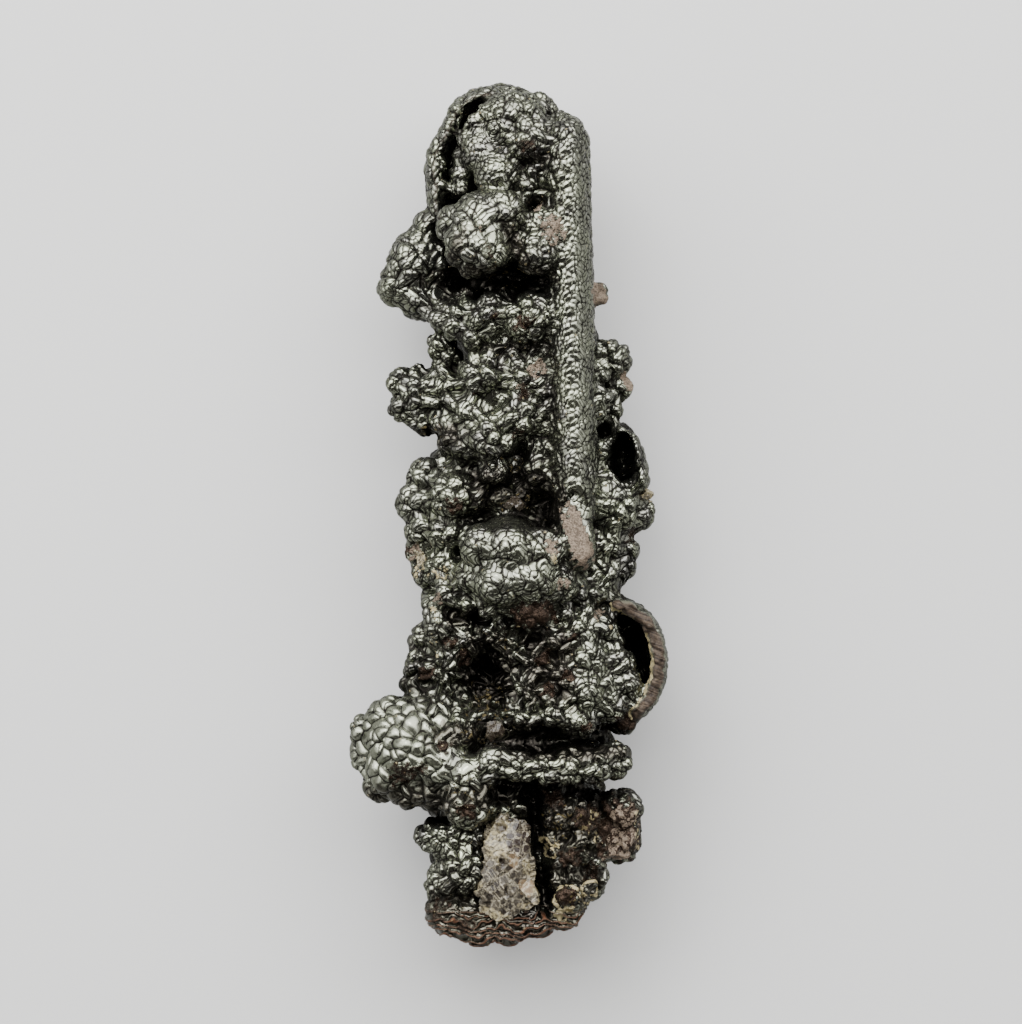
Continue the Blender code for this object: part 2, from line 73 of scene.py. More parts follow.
MM = 0.001
CAD_BOX = [list(corner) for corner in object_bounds()]

# The photo's frame: its size in pixels, and the pixel that the frame's origin falls on.
PHOTO_WIDTH = 1022
PHOTO_HEIGHT = 1024
ORIGIN_PIXEL = (509, 511)
PIXELS_PER_METRE = 4876.0

# The specimen's forms, in millimetres from its middle, as its solids have them.
AXIS_HEIGHT = 19.0
TRUNK = [
    (80, -1, 6.5, 9), (74, 0.5, 9.5, 11.5), (66, 1.5, 11.5, 12.5), (57, 2, 12.5, 13), (48, 2, 12.5, 13),
    (39, 3, 12.5, 13), (30, 4.5, 13, 13), (21, 5, 13.5, 13), (12, 5.5, 13.5, 13), (3, 4, 16, 13),
    (-6, 4, 16.5, 13.5), (-15, 3.5, 16, 13.5), (-24, 3, 16, 13.5), (-33, 2.5, 18, 13.5), (-42, 1, 19, 13.5),
    (-51, 0.5, 20, 13.5), (-60, 1, 18, 13.5), (-69, 1.5, 15.5, 13), (-77, 1.5, 13.5, 12),
]
TRUNK_REACH = 8.5
STALK = [(0.22, 0.92), (0.44, 0.84), (0.66, 0.76)]

# Lobes of the front and the sides: x, y, z of the centre and the radius. A radius can be three.
CROWN = [
    (1, 79, 31, 7), (4.5, 75, 34.5, 5.3), (-5, 73.5, 31, 5), (-2, 68.5, 34, 5), (4.5, 65.5, 34.5, 3),
    (9.5, 67, 33, 4.5), (-9, 70, 27, 4), (-5, 82.4, 25, 4.6), (0.5, 82.8, 25, 4.6), (5.6, 81.6, 25, 4.6),
]
UPPER_LEFT = [
    (-19.5, 50.5, 24, (5.8, 7, 8.5)), (-22.3, 46.3, 24, (4.8, 4.6, 7)), (-17.8, 43.8, 24, (5.2, 5, 7)),
    (-16.8, 57, 23, (3.6, 5, 6.5)), (-24.8, 46, 23, (2.5, 2.6, 4)),
]
UPPER_MIDDLE = [
    (-5, 57, 36.5, 8), (-10.3, 58, 35.5, 4.6), (-1, 60.5, 40, 4.6), (-8.3, 53.5, 39.5, 5),
    (-4, 52.5, 41.5, 4.4), (-7, 49.8, 38.5, 3.3), (7, 56.5, 37, (5.4, 5.2, 5.2)), (5.6, 52, 39.5, 4.5),
    (10, 51.8, 36.5, 4),
]
UPPER_ROW = [
    (-13.4, 40, 29.5, 3.9), (-10.3, 38.8, 32.5, 4.3), (-9, 43.2, 30.5, 3), (-3.5, 40.3, 35, 5),
    (-7, 36.4, 34, 3.6), (3.8, 39.4, 36.5, 5.6), (-1, 43.3, 32.5, 3.6), (8.6, 41.5, 33.5, 4.2),
]
LEFT_KNOB = [
    (-21.9, 26.5, 25, 3.3), (-21.5, 21.5, 24, 3.5), (-17.5, 24.2, 26, 4.3), (-17, 18.8, 24, 3.6),
    (-13, 24, 27, 4.4), (-13.2, 28.6, 26, 3.2), (-12.6, 19, 26, 3.9), (-19.3, 28.8, 24, 2.2),
]
MIDDLE = [
    (-4.5, 27.5, 31, 6.2), (3, 27.5, 33, 5), (8, 29.5, 32.5, 4.2), (2.5, 19.3, 34.5, 4.8),
    (-3, 15.4, 34, 5), (-8, 14, 30, 4.2), (-7.2, 20.5, 30, 5), (-11.5, 15, 28, 3.4), (-2.8, 8.3, 32, 3.4),
    (7, 8.5, 31, (5.2, 5.5, 4.5)), (8.5, 15, 31, 4.5),
]
LEFT_LOBE = [
    (-16.3, 6.8, 26.5, 4.7), (-18, 2, 26.5, 5), (-11.5, 3.4, 31, 4.9), (-21, 0.8, 25.5, 2.7),
    (-13, -4.6, 30.5, 3.7), (-17.4, -3.2, 27.5, 4.1), (-18.2, -8, 25.5, 3.3), (-13.3, -11.4, 29.5, 4),
    (-16.4, -12.6, 26.5, 3.4),
]
BIG_MIDDLE = [
    (0, -9.5, 31.5, (9.5, 8.5, 8.5)), (-5.6, -7, 36, 4.6), (0.4, -7.6, 37.5, 5.2), (6.4, -8.2, 36.5, 5),
    (-2, -14.6, 37.5, 5), (-7, -13.2, 34, 4.2), (4.2, -13.8, 37, 5.4), (-3.2, -18.4, 35.5, 3.7),
    (9.6, -14.6, 34, 4.6), (4.6, -20.4, 35, 4.3),
]
RIGHT_SIDE = [
    (18.2, 44.4, 26, 2.6), (20.8, 31.2, 24, 4.6), (21.6, 25.4, 23, 4.1), (20.3, 20.8, 23, 3.7),
    (18.6, 12.8, 27, 2.9), (21.4, 1, 27, 5.7), (26.2, -0.2, 23, 4), (20.4, 5.8, 27, 3.7),
    (20, -6.6, 28, 3.4), (23.8, -7.6, 25, 3.2), (23.4, -10.6, 24, 3.2), (19.4, -12.6, 28, 3.4),
    (20, -17.6, 26, 3.4), (13, -16, 31, 4.2), (16.8, -16.2, 29, 3.7),
]
LOWER_COLUMN = [
    (-13.8, -19.8, 28.5, 4.2), (-16, -17.4, 25.5, 2.6), (-13.4, -24, 30, 4.1), (-17, -26, 26.5, 3.7),
    (-12.4, -28, 30.5, 3.2), (-17.2, -31, 26.5, 4.2), (-13.6, -32, 29.5, 3.6), (-8.4, -27, 31.5, 2.9),
    (-19.4, -34.4, 25.5, 3.2), (-2.6, -25, 32.5, 3.1), (1.4, -28.4, 32, 3.1), (5.4, -30.6, 33, 3.3),
    (4.2, -36.4, 33, 3.6), (9.2, -26.4, 33, 3.6), (10.6, -33.6, 33.5, 4), (14.4, -24.4, 32.5, 3.6),
    (16, -30, 32.5, 4), (15.4, -36.2, 33.5, 4.4), (19, -24, 29.5, 3.6), (20, -34, 30.5, 4),
    (20.4, -39.4, 30.5, 3.8), (3.4, -41.6, 32.5, 3.4), (9.6, -40.6, 33.5, 3.8), (14.6, -42.6, 33, 3.6),
    (24, -38.2, 27.5, 3.8), (23.4, -42.4, 26.5, 3.4),
]
LOWER_LEFT_LOBE = [
    (-20, -47, 28, (10, 9.6, 11)), (-28.6, -44.6, 28, 3.9), (-28.4, -49.6, 27, 4), (-24, -42.6, 30, 5.2),
    (-17, -42.8, 31.5, 5.6), (-11.6, -45.2, 32.5, 5.2), (-19, -48.6, 34, 6.2), (-24, -52.4, 31, 5.2),
    (-20.4, -56.6, 30, 4), (-26, -55.6, 27, 3.8), (-14.4, -51.2, 34, 5.2), (-15, -56.8, 32, 4),
    (-8, -54, 35.5, 4.8), (-8.5, -59.6, 35.5, 4.8),
]
LEDGE = [
    (-3, -51, 36.5, 3.8), (2, -51.8, 36.5, 3.6), (7, -52.2, 36.5, 3.6), (12, -52, 36.5, 3.6),
    (17, -51.6, 35.5, 3.8), (21.4, -50.4, 32.5, 4.1),
]
BASE = [
    (-15.6, -66, 27, 3.9), (-11.6, -67, 30, 4.7), (-9, -73, 31, 5.2), (-12.4, -75.6, 29, 5),
    (-11.4, -81, 28, 5.8), (-6, -83, 29, 5.4), (0, -83.2, 29, 5), (6, -81.8, 29, 4.8),
    (12.2, -62.4, 32, 5.2), (15.4, -67.4, 32, 4.8), (11.2, -70, 33, 4.2), (12.2, -76.8, 32, 5),
    (16.8, -75.4, 29, 4.2), (17, -70.6, 30, 4.2), (11.6, -81.2, 29, 3.9),
]
BROKEN_BAR = [(13.2, -1, 35, (3.4, 4.2, 7)), (14, -5, 35, (3.4, 4.2, 7)), (14.6, -8.4, 34, (3.2, 3.6, 6.6))]
BROKEN_BLOCK = [(22.6, -61.6, 26, 5.4), (22.6, -67, 25, 5.4)]

# Lobes of the unseen back, grown in rows round the trunk, and the six that it rests on.
BACK_SEED = 11
BACK_ROW_STEP = 8.5
BACK_ANGLES = (196, 220, 244, 270, 296, 320, 344)
BACK_TURN_PLAY = 9
BACK_SHIFT_PLAY = 2.5
BACK_RADIUS = (4.4, 6.4)
BACK_SUNK = 0.55
BACK_CLEARANCE = 0.6
FEET = [(-8, -61), (11, -63), (-8, 34), (11, 37), (-10, -18), (15, -10)]
FOOT_HEIGHT = 6.1
FOOT_SIZE = (6.6, 6.6, 7.2)

# Calcite. Squeezed along its body diagonal to this share, a cube becomes a cleavage rhomb, whose
# faces then stand at this angle to the diagonal's plane.
RHOMB_SQUEEZE = 0.70
RHOMB_LEAN = 44.6

# The solid patch's outline, which shows how far the frame stands from these forms.
PATCH_OUTLINE = [
    (-1, -61), (1.5, -61.5), (3.3, -64), (3.9, -68), (4.5, -73), (4.7, -79), (3, -80.5), (0, -81.5),
    (-2.5, -83.5), (-5, -82.5), (-6, -80), (-6, -75), (-5, -70), (-5, -67), (-4, -64.5), (-2, -62.5),
]

# The thin curled walls: points along each wall's middle line, its half thickness and half depth.
CROWN_CURL = [
    (-3.6, 85.4), (-7.4, 84.4), (-10.2, 82.2), (-11.6, 79), (-13.2, 75.8), (-15, 73), (-15.3, 69.6),
    (-14.8, 66.2), (-14.8, 62.6), (-14.2, 59.4),
]
CROWN_CURL_SIZE = (2.1, 8.0, 23.0)
SIDE_CURL = [(22.4, 16.4), (24.8, 14.8), (26.2, 11.8), (27, 8.6), (27.2, 5.2)]
SIDE_CURL_SIZE = (1.8, 7.0, 24.0)
SHELL_CURL = [
    (22, -18.8), (25.2, -20), (28, -22.2), (29.9, -25.6), (30.7, -29.8), (30.4, -34), (28.8, -38),
    (26.2, -41),
]
SHELL_CURL_SIZE = (1.9, 9.0, 25.0)

# Bodies behind the crevices and inside the curls, so that nothing can be seen through.
BACKING = [
    (-11.5, 50, 19, (6.5, 9.5, 8)), (-10, 70, 20, (5, 11, 7)), (-8, 80, 20, (4, 5, 6)),
    (22, 11, 17, (5.5, 8, 8)), (24, -30, 16, (6.5, 10.5, 8.5)), (12, 20, 22, (7, 12, 9)),
    (-8, 8, 22, (9, 8, 8)), (18, -8, 22, (8, 10, 8)), (-12, -26, 22, (6, 12, 8)),
    (-16, -48, 22, (12, 10, 10)), (14, -50, 26, (9, 3.5, 9)),
]

# The ridge that runs down the front's right side, as a chain from its crown end.
RIDGE_TOP = (11.4, 74.5)
RIDGE_FOOT = (13.4, 2.0)
RIDGE_SIZE = (5.2, 6.5, 10.5)
RIDGE_HEIGHT = 30.5
RIDGE_LINKS = 12

# Hollows cut into the mass: the same four values as a lobe.
HOLLOWS = [
    (-4.6, -33.6, 38, (4.6, 5.8, 13.5)), (23.4, 11.2, 31, (2.6, 5.2, 10.5)),
    (25.2, -28.8, 34, (3.6, 7.4, 16)), (24.4, -33.4, 34, (3.2, 5, 14)), (18.9, 40, 33, (1.5, 2, 6)),
    (4.6, -57.6, 40, (4.4, 2.6, 12)),
]

# The cleft beside the crown's wall and the slit in the base, as lines of hollows.
CLEFT = [(-6.2, 83), (-8.2, 80.4), (-9.8, 77), (-11.2, 73.6), (-12, 70), (-11.8, 66.6)]
CLEFT_SIZE = (1.6, 12.0, 36.0)
SLIT_TOP = (5.2, -58.5)
SLIT_FOOT = (7.2, -79.0)
SLIT_SIZE = (1.7, 4.4, 10.0)
SLIT_HEIGHT = 37.0
SLIT_LINKS = 6

# Broken faces: a point on the face, the way that it looks, and the cutter's half size.
BREAKS = [
    ((14, -4.6, 39.4), (-0.12, 0.1, 1), 6.5), ((22.8, -64.5, 32), (0.35, -0.1, 1), 6.5),
    ((27.2, -65, 25), (1, -0.25, 0.3), 7), ((19.4, 44.8, 27.6), (0.6, 0.4, 1), 2.6),
]

# Small lobes added after the hollows are cut: in the curled shell, along the crown's
# cleft and its wall, and in the gaps between the larger lobes.
INNER_LOBES = [
    (22.4, -31, 30, 3.6), (24, -35, 30, 3.3), (25.2, -38.4, 29.5, 2.6), (21.6, -27, 29, 2.6),
    (-5.2, 81.4, 33.2, 1.7), (-6.9, 78.8, 32.4, 2.2), (-8.3, 75.8, 31, 2.5), (-9, 72.4, 29.6, 2.5),
    (-9.4, 68.8, 29, 2.6), (-9.4, 65.4, 29.2, 2.6), (-11.4, 79.4, 29.4, 1.7), (-13.8, 75, 29, 1.8),
    (-14.2, 70.6, 28.8, 1.7), (-13.9, 66.2, 28.8, 1.8), (-12.4, 77.6, 29.4, 1.6), (-10, 81.6, 29.6, 1.6),
    (5.6, 69.4, 34.6, 3), (10.6, 79, 33, 2.6), (10.2, 75.4, 33.4, 2.7), (10.4, 71.8, 33.8, 2.6),
    (10, 68.4, 34.2, 2.7), (10.4, 65, 34.2, 2.6), (10.2, 61.6, 34.4, 2.7), (10, 58.4, 34.6, 2.6),
    (10.5, 55, 34.6, 2.6), (10.1, 51.4, 34.6, 2.7), (10.5, 47.8, 34.6, 2.6), (10, 44.4, 34.8, 2.7),
    (10.4, 41, 34.8, 2.6), (10, 37.4, 34.8, 2.7), (10.5, 33.8, 34.8, 2.6), (10.1, 30.4, 34.8, 2.6),
    (10.4, 26.8, 34.8, 2.7), (10, 23.2, 34.6, 2.6), (10.4, 19.6, 34.6, 2.6), (10.2, 16.2, 34.4, 2.7),
    (10.6, 12.8, 34, 2.6), (10.8, 9.4, 33.6, 2.6), (-3.5, 33.6, 33, 2.6), (0.6, 33.8, 34, 2.7),
    (4.6, 33.8, 34, 2.6), (8.4, 46, 33.2, 2.8), (8.4, 42.5, 33.2, 2.8), (8.4, 39, 33.4, 2.9),
    (8.2, 35.4, 33.6, 2.9), (8.2, 31.6, 33.8, 2.9), (7.8, 28, 33.8, 2.9), (7.4, 24.5, 33.8, 3),
    (7.8, 21, 33.6, 2.9), (8.4, 17.4, 33.4, 2.9), (8.8, 13.6, 33, 2.9), (9, 9.8, 32.4, 2.8),
    (6, 13.5, 32, 2.8), (18.6, 23.5, 31, 2.6), (18.4, 28, 31, 2.4), (18.6, 19.5, 30, 2.2),
    (-12, -16.5, 32, 3.2), (-8.5, -18.5, 32, 2.6), (-7.4, -66.5, 31, 3.2), (-8, -71, 31, 3.2),
    (6, 64.6, 34, 2.4), (9.4, 62.5, 33, 2.4), (-13.5, 34, 26, 3.4), (-11, -21.5, 29, 2.8),
    (12, -21, 32, 2.4), (16, -20.8, 32, 2.4), (-14, -37, 28, 3.2), (-17.5, -37.5, 27, 2.6),
    (9.4, -21.2, 31.4, 2.4), (-8.8, -21.8, 29.4, 2.4), (-12, 31.6, 26.6, 2.8), (9.6, 2, 30.4, 2.6),
    (5.6, 7.6, 31, 2.6), (2.4, 5.6, 29.6, 2.4),
]

# The broken rim of the curled shell, in flats that follow its curve.
RIM_BREAKS = [
    ((26.6, -20.9, 32.2), (0.1, 0.15, 1), 2.6), ((30.4, -26.2, 31.7), (0.15, 0.05, 1), 3),
    ((31.2, -31.9, 31.8), (0.18, 0, 1), 3), ((30, -37.2, 31.7), (0.12, -0.1, 1), 2.9),
]

# The cleaved patch of calcite at the base, and the small crystals.
PATCH_DEPTH = (29.0, 37.5)
# The patch's cleavage faces: a point on each and the way that it looks.
PATCH_FACES = [
    ((0, -77, 35.4), (0.1, -0.16, 1)), ((-1, -66, 36), (-0.22, 0.3, 1)),
    ((3.4, -72, 35.5), (0.55, 0.05, 1)), ((-5, -76, 34.8), (-0.6, -0.1, 1)),
]
RIGHT_EDGE_CRYSTALS = [(28.2, 3.6, 24.6, 2.3, (40, 20, 10)), (28.6, 1.2, 23.6, 1.9, (10, 60, 40))]
LEFT_CRYSTALS = [
    (-18, -8.6, 27.4, 2.3, (20, -35, 15)), (-17, -10.2, 27.9, 2.5, (-25, -20, 50)),
    (-17.2, -11.8, 27.6, 2.3, (30, -10, 70)),
]
UPPER_CREVICE_CRYSTALS = [
    (1.2, 2.2, 34.2, 2.1, (15, 10, 25)), (2.1, 1.6, 34, 1.9, (-20, 30, 60)),
    (0.3, 1.5, 33.9, 1.9, (35, -15, 5)),
]
LOWER_CREVICE_CRYSTALS = [
    (-3.4, -43.7, 33.6, 2.3, (10, 25, 45)), (-2.3, -44.3, 33.8, 2.2, (-30, 5, 20)),
    (-3.4, -45.1, 33.5, 2.1, (20, -20, 80)),
]
CRYSTALS = {
    "calcite_right_edge": RIGHT_EDGE_CRYSTALS,
    "calcite_left_edge": LEFT_CRYSTALS,
    "calcite_upper_crevice": UPPER_CREVICE_CRYSTALS,
    "calcite_lower_crevice": LOWER_CREVICE_CRYSTALS,
}

# How the skin swells: knobs a few millimetres across, each covered with smaller scales. A region
# is an ellipse of the front, with the spacing of its knobs and of its scales, and how far each
# falls from its middle to half its spacing.
Region = namedtuple("Region", "x y half_x half_y knobs knob_fall scales scale_fall")
USUAL = Region(0, 0, 0, 0, 4.2, 0.38, 1.4, 0.06)
UNSEEN = Region(0, 0, 0, 0, 5.4, 0.60, 2.4, 0.10)
REGIONS = [
    (2, 78, 10, 11, 3.4, 0.34, 1.23, 0.075), (-21, 48, 9, 11, 4.2, 0.44, 1.57, 0.09),
    (-5, 57, 10, 9, 4.4, 0.37, 1.68, 0.09), (7, 55, 6, 8, 3.8, 0.34, 1.34, 0.09),
    (-4, 40, 14, 6, 5.6, 0.85, 1.3, 0.09), (-18, 23, 9, 10, 3.8, 0.51, 1.46, 0.09),
    (0, 24, 10, 10, 5.4, 0.85, 1.3, 0.09), (-17, 1, 9, 11, 4.4, 0.46, 1.57, 0.09),
    (1, -10, 11, 8, 5.2, 0.2, 1.68, 0.075), (22, 26, 6, 12, 4.6, 0.6, 1.25, 0.09),
    (23, -3, 9, 13, 4.2, 0.44, 1.46, 0.09), (-4, -33, 17, 12, 3.2, 0.79, 1.4, 0.12),
    (18, -31, 5.5, 11, 4, 0.37, 1.51, 0.105), (29, -31, 5, 12, 2.6, 0.17, 1.23, 0.12),
    (-23, -49, 13, 12, 3, 0.37, 5, 0), (-8, -58, 7, 6, 2.6, 0.39, 5, 0),
    (-3, -48.8, 9, 2.8, 3.6, 0.05, 1.57, 0.045), (11, -51.5, 15, 4, 3.2, 0.49, 1.46, 0.09),
    (-11, -74, 9, 12, 3.6, 0.46, 1.46, 0.12), (15, -70, 10, 12, 4, 0.67, 1.46, 0.12),
    (1, -3, 9, 2.4, 4, 0.05, 1.57, 0.045), (-12.5, 76, 3.2, 11, 3, 0.27, 1.34, 0.105),
    (-6, 70, 5, 8, 2.6, 0.06, 1.12, 0.06), (9, 30, 3, 26, 2.6, 0.2, 1.12, 0.09),
    (13.6, 39, 3.6, 43, 3.6, 0.1, 1.18, 0.068), (14, -4.6, 3.6, 7.5, 3, 0.02, 1.3, 0.01),
]
# How soft a region's border is, as a share of its half size.
REGION_EDGE = 0.3
# The shares of the skin's points that are tried as middles of knobs and of scales, and the side
# of the cells that those kept are looked up in.
KNOB_TRIES = 0.12
SCALE_TRIES = 0.7
SCATTER_CELL = 1.5
# The heights between which the front's own values set in.
FRONT_FROM = (13.0, 20.0)
# How far the knobs' tops stand out and how low the skin may sink between them, then the depth and
# width of the grooves between knobs and between scales, how much each kind leans, and how far
# sizes stray.
KNOB_TOP = 0.35
KNOB_FOOT = -1.3
KNOB_GROOVE = (0.12, 0.42)
SCALE_GROOVE = (0.07, 0.20)
KNOB_TILT = 0.0
SCALE_TILT = 0.025
ODD_SIZES = (0.62, 1.38)

# A slow wander of the places that the domes are measured by, so that they aren't all round, how
# much lower some domes lie, as a share of their own fall, and how many near points are looked at.
WANDER = (0.55, 1.15)
UNEVEN = 0.5
NEAREST = 4

# The mass is melted coarser at first, and its skin is made finer where nothing stands over it.
# That is judged in square cells of the front view, with this much depth to spare.
COARSE_GRAIN = 1.35
VIEW_CELL = 0.8
VIEW_DEPTH = 2.6

# How far away the walls of a crevice are looked for, in cells.
CREVICE_REACH = 9

# The attribute that keeps the whole skin's outward ways for its parts.
SHADE = "shade"

# Thin wavy layers along the foot: from this height down, their spacing, waviness and relief, and how much
# painted shade darkens them.
LAYERS_FROM = (-79.8, -82.4)
LAYER_SPACING = 1.35
LAYER_WAVES = [(0.62, 0, 0.55), (1.45, 0.9, 0.28), (2.9, -1.6, 0.14), (0.25, 1.9, 0.3)]
LAYER_RELIEF = 0.8
LAYER_PAINTED_SHADE = 0.9

# The worn rims of the curled walls: the height from which a wall is bare, how far from its middle
# line, how worn the shell's rim is, and the cream line inside it.
RAISED = (27.0, 30.0)
SHELL_RIM = (1.5, 0.9)
CROWN_RIM = (0.6, 0.2)
CROWN_RIM_SHARE = 0.35
RIM_WEAR = 0.22
CREAM_INSET = 1.45
CREAM_WIDTH = (0.4, 0.15)

# Where the mass is parted into pieces for the finished mesh, from the crown down, with the half
# size of the box that cuts it, and how near to a cut a place is on it or beside it.
HALF_BOX = 150.0
CUT_SLACK = 0.0005
BESIDE = 1.5
BANDS = [
    ("goethite_crown", 54.0),
    ("goethite_shoulder", 25.0),
    ("goethite_middle", -6.0),
    ("goethite_waist", -30.0),
    ("goethite_ledge", -51.0),
    ("goethite_base", -200.0),
]


def shift_to_frame():
    """How far the forms move to stand where the frame has them, in metres."""
    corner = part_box("calcite_cleaved_patch")[0]
    least_x = min(x for x, y in PATCH_OUTLINE) * MM
    least_y = min(y for x, y in PATCH_OUTLINE) * MM
    return Vector((corner[0] - least_x, corner[1] - least_y, 0.0))


def deselect_all():
    bpy.ops.object.select_all(action="DESELECT")


def make_active(piece):
    deselect_all()
    piece.select_set(True)
    bpy.context.view_layer.objects.active = piece
    return piece


def join(pieces):
    """Joins the pieces to the first of them."""
    make_active(pieces[0])
    for piece in pieces:
        piece.select_set(True)
    bpy.ops.object.join()
    return pieces[0]


def apply_modifier(piece, modifier):
    make_active(piece)
    bpy.ops.object.modifier_apply(modifier=modifier.name)
    return piece


def read(items, field, width=1, kind=np.float32):
    """One value, or one row of values, for each item of a mesh."""
    values = np.empty(len(items) * width, dtype=kind)
    items.foreach_get(field, values)
    return values.reshape(-1, width) if width > 1 else values


def tree_of(points):
    """A search tree that numbers the points in their order."""
    tree = kdtree.KDTree(len(points))
    for number, point in enumerate(points):
        tree.insert(point, number)
    tree.balance()
    return tree


def sized(radius):
    return radius if isinstance(radius, tuple) else (radius, radius, radius)


def balls(name, lobes, steps=4):
    """One ball is added by hand and copied to every lobe, and the copies are joined."""
    deselect_all()
    bpy.ops.mesh.primitive_ico_sphere_add(subdivisions=steps, radius=1.0, location=(0, 0, 0))
    first = bpy.context.object
    pieces = []
    for x, y, z, radius in lobes:
        piece = first.copy()
        piece.data = first.data.copy()
        place = Matrix.Translation(Vector((x, y, z)) * MM)
        piece.data.transform(place @ Matrix.Diagonal([*(r * MM for r in sized(radius)), 1.0]))
        bpy.context.collection.objects.link(piece)
        pieces.append(piece)
    bpy.data.objects.remove(first)
    joined = join(pieces)
    joined.name = name
    return joined


def trunk_at(along):
    """Centre, half width and half depth of the trunk at a distance along it."""
    stations = sorted(TRUNK)
    places = [s[0] for s in stations]
    return [float(np.interp(along, places, [s[i] for s in stations])) for i in (1, 2, 3)]


def trunk():
    return [
        (centre, along, AXIS_HEIGHT, (half_width, TRUNK_REACH, half_depth))
        for along, centre, half_width, half_depth in TRUNK
    ]


def back(chance):
    """Rows of lobes round the side of the trunk that lies down, and the lobes it rests on."""
    low, high = TRUNK[-1][0], TRUNK[0][0]
    rows = round((high - low) / BACK_ROW_STEP)
    lobes = []
    for row in range(rows + 1):
        along = low + (high - low) * row / rows
        centre, half_width, half_depth = trunk_at(along)
        for angle in BACK_ANGLES:
            turn = math.radians(angle + chance.uniform(-BACK_TURN_PLAY, BACK_TURN_PLAY))
            radius = chance.uniform(*BACK_RADIUS)
            x = centre + (half_width - radius * BACK_SUNK) * math.cos(turn)
            z = AXIS_HEIGHT + (half_depth - 1.0) * math.sin(turn)
            shift = chance.uniform(-BACK_SHIFT_PLAY, BACK_SHIFT_PLAY)
            lobes.append((x, along + shift, max(z, radius + BACK_CLEARANCE), radius))
    return lobes + [(x, y, FOOT_HEIGHT, FOOT_SIZE) for x, y in FEET]


def curl(points, size):
    """A thin standing wall: overlapping lobes along its middle line."""
    half_thickness, half_depth, height = size
    lobes = []
    for (x0, y0), (x1, y1) in zip(points, points[1:]):
        for share in (0.0, 0.25, 0.5, 0.75):
            x = x0 + (x1 - x0) * share
            y = y0 + (y1 - y0) * share
            lobes.append((x, y, height, (half_thickness, half_thickness, half_depth)))
    return lobes


def on_stalks(lobes):
    """Each lobe with smaller ones behind it, down to the trunk that it grows from."""
    grown = list(lobes)
    for x, y, z, radius in lobes:
        centre = trunk_at(y)[0]
        for way, share in STALK:
            size = tuple(r * share for r in sized(radius))
            grown.append((x + (centre - x) * way, y, z + (AXIS_HEIGHT - z) * way, size))
    return grown


def chain(start, end, links, height, size):
    lobes = []
    for link in range(links):
        share = link / (links - 1)
        x = start[0] + (end[0] - start[0]) * share
        y = start[1] + (end[1] - start[1]) * share
        lobes.append((x, y, height, size))
    return lobes


def remesh(piece, size):
    """Melts overlapping closed forms into one skin with edges of about this size, in metres."""
    modifier = piece.modifiers.new("Remesh", "REMESH")
    modifier.mode = "VOXEL"
    modifier.voxel_size = size
    return apply_modifier(piece, modifier)


def cut(piece, cutter):
    modifier = piece.modifiers.new("Cut", "BOOLEAN")
    modifier.operation = "DIFFERENCE"
    modifier.solver = "MANIFOLD"
    modifier.object = cutter
    apply_modifier(piece, modifier)
    bpy.data.objects.remove(cutter)
    return piece


def smooth(piece, factor, turns):
    modifier = piece.modifiers.new("Smooth", "SMOOTH")
    modifier.factor = factor
    modifier.iterations = turns
    return apply_modifier(piece, modifier)


def keep_largest(piece):
    """Parts the piece into its loose islands and keeps the one with the most faces."""
    make_active(piece)
    bpy.ops.mesh.separate(type="LOOSE")
    islands = sorted(bpy.context.selected_objects, key=lambda item: len(item.data.polygons))
    for island in islands[:-1]:
        bpy.data.objects.remove(island)
    return make_active(islands[-1])


def lobed_mass(grain):
    """The whole mass with its hollows, as one even skin before it swells into knobs."""
    fronts = []
    for group in (CROWN, UPPER_LEFT, UPPER_MIDDLE, UPPER_ROW, LEFT_KNOB, MIDDLE, LEFT_LOBE,
                  BIG_MIDDLE, RIGHT_SIDE, LOWER_COLUMN, LOWER_LEFT_LOBE, LEDGE, BASE,
                  BROKEN_BAR, BROKEN_BLOCK):
        fronts += group
    lobes = trunk() + back(random.Random(BACK_SEED)) + on_stalks(fronts) + BACKING
    for points, size in ((CROWN_CURL, CROWN_CURL_SIZE), (SIDE_CURL, SIDE_CURL_SIZE),
                         (SHELL_CURL, SHELL_CURL_SIZE)):
        lobes += curl(points, size)
    lobes += chain(RIDGE_TOP, RIDGE_FOOT, RIDGE_LINKS * 4 - 3, RIDGE_HEIGHT, RIDGE_SIZE)
    mass = remesh(balls("goethite_mass", lobes), grain * COARSE_GRAIN)
    pits = HOLLOWS + curl(CLEFT, CLEFT_SIZE)
    pits += chain(SLIT_TOP, SLIT_FOOT, SLIT_LINKS * 2 - 1, SLIT_HEIGHT, SLIT_SIZE)
    cut(mass, remesh(balls("hollow_cutter", pits), grain))
    for point, facing, half_size in BREAKS + RIM_BREAKS:
        cut(mass, break_cutter(point, facing, half_size))
    join([mass, balls("inner_lobes", INNER_LOBES)])
    remesh(mass, grain)
    mass = keep_largest(mass)
    return refine_front(smooth(mass, 0.5, 2))


def top_map(places):
    """The highest place in each cell of the front view, and each place's own cell."""
    rim = CREVICE_REACH + 1
    across = ((places[:, 0] - places[:, 0].min()) / VIEW_CELL).astype(int) + rim
    along = ((places[:, 1] - places[:, 1].min()) / VIEW_CELL).astype(int) + rim
    tops = np.zeros((across.max() + rim + 1, along.max() + rim + 1))
    np.maximum.at(tops, (across, along), places[:, 2])
    return tops, across, along


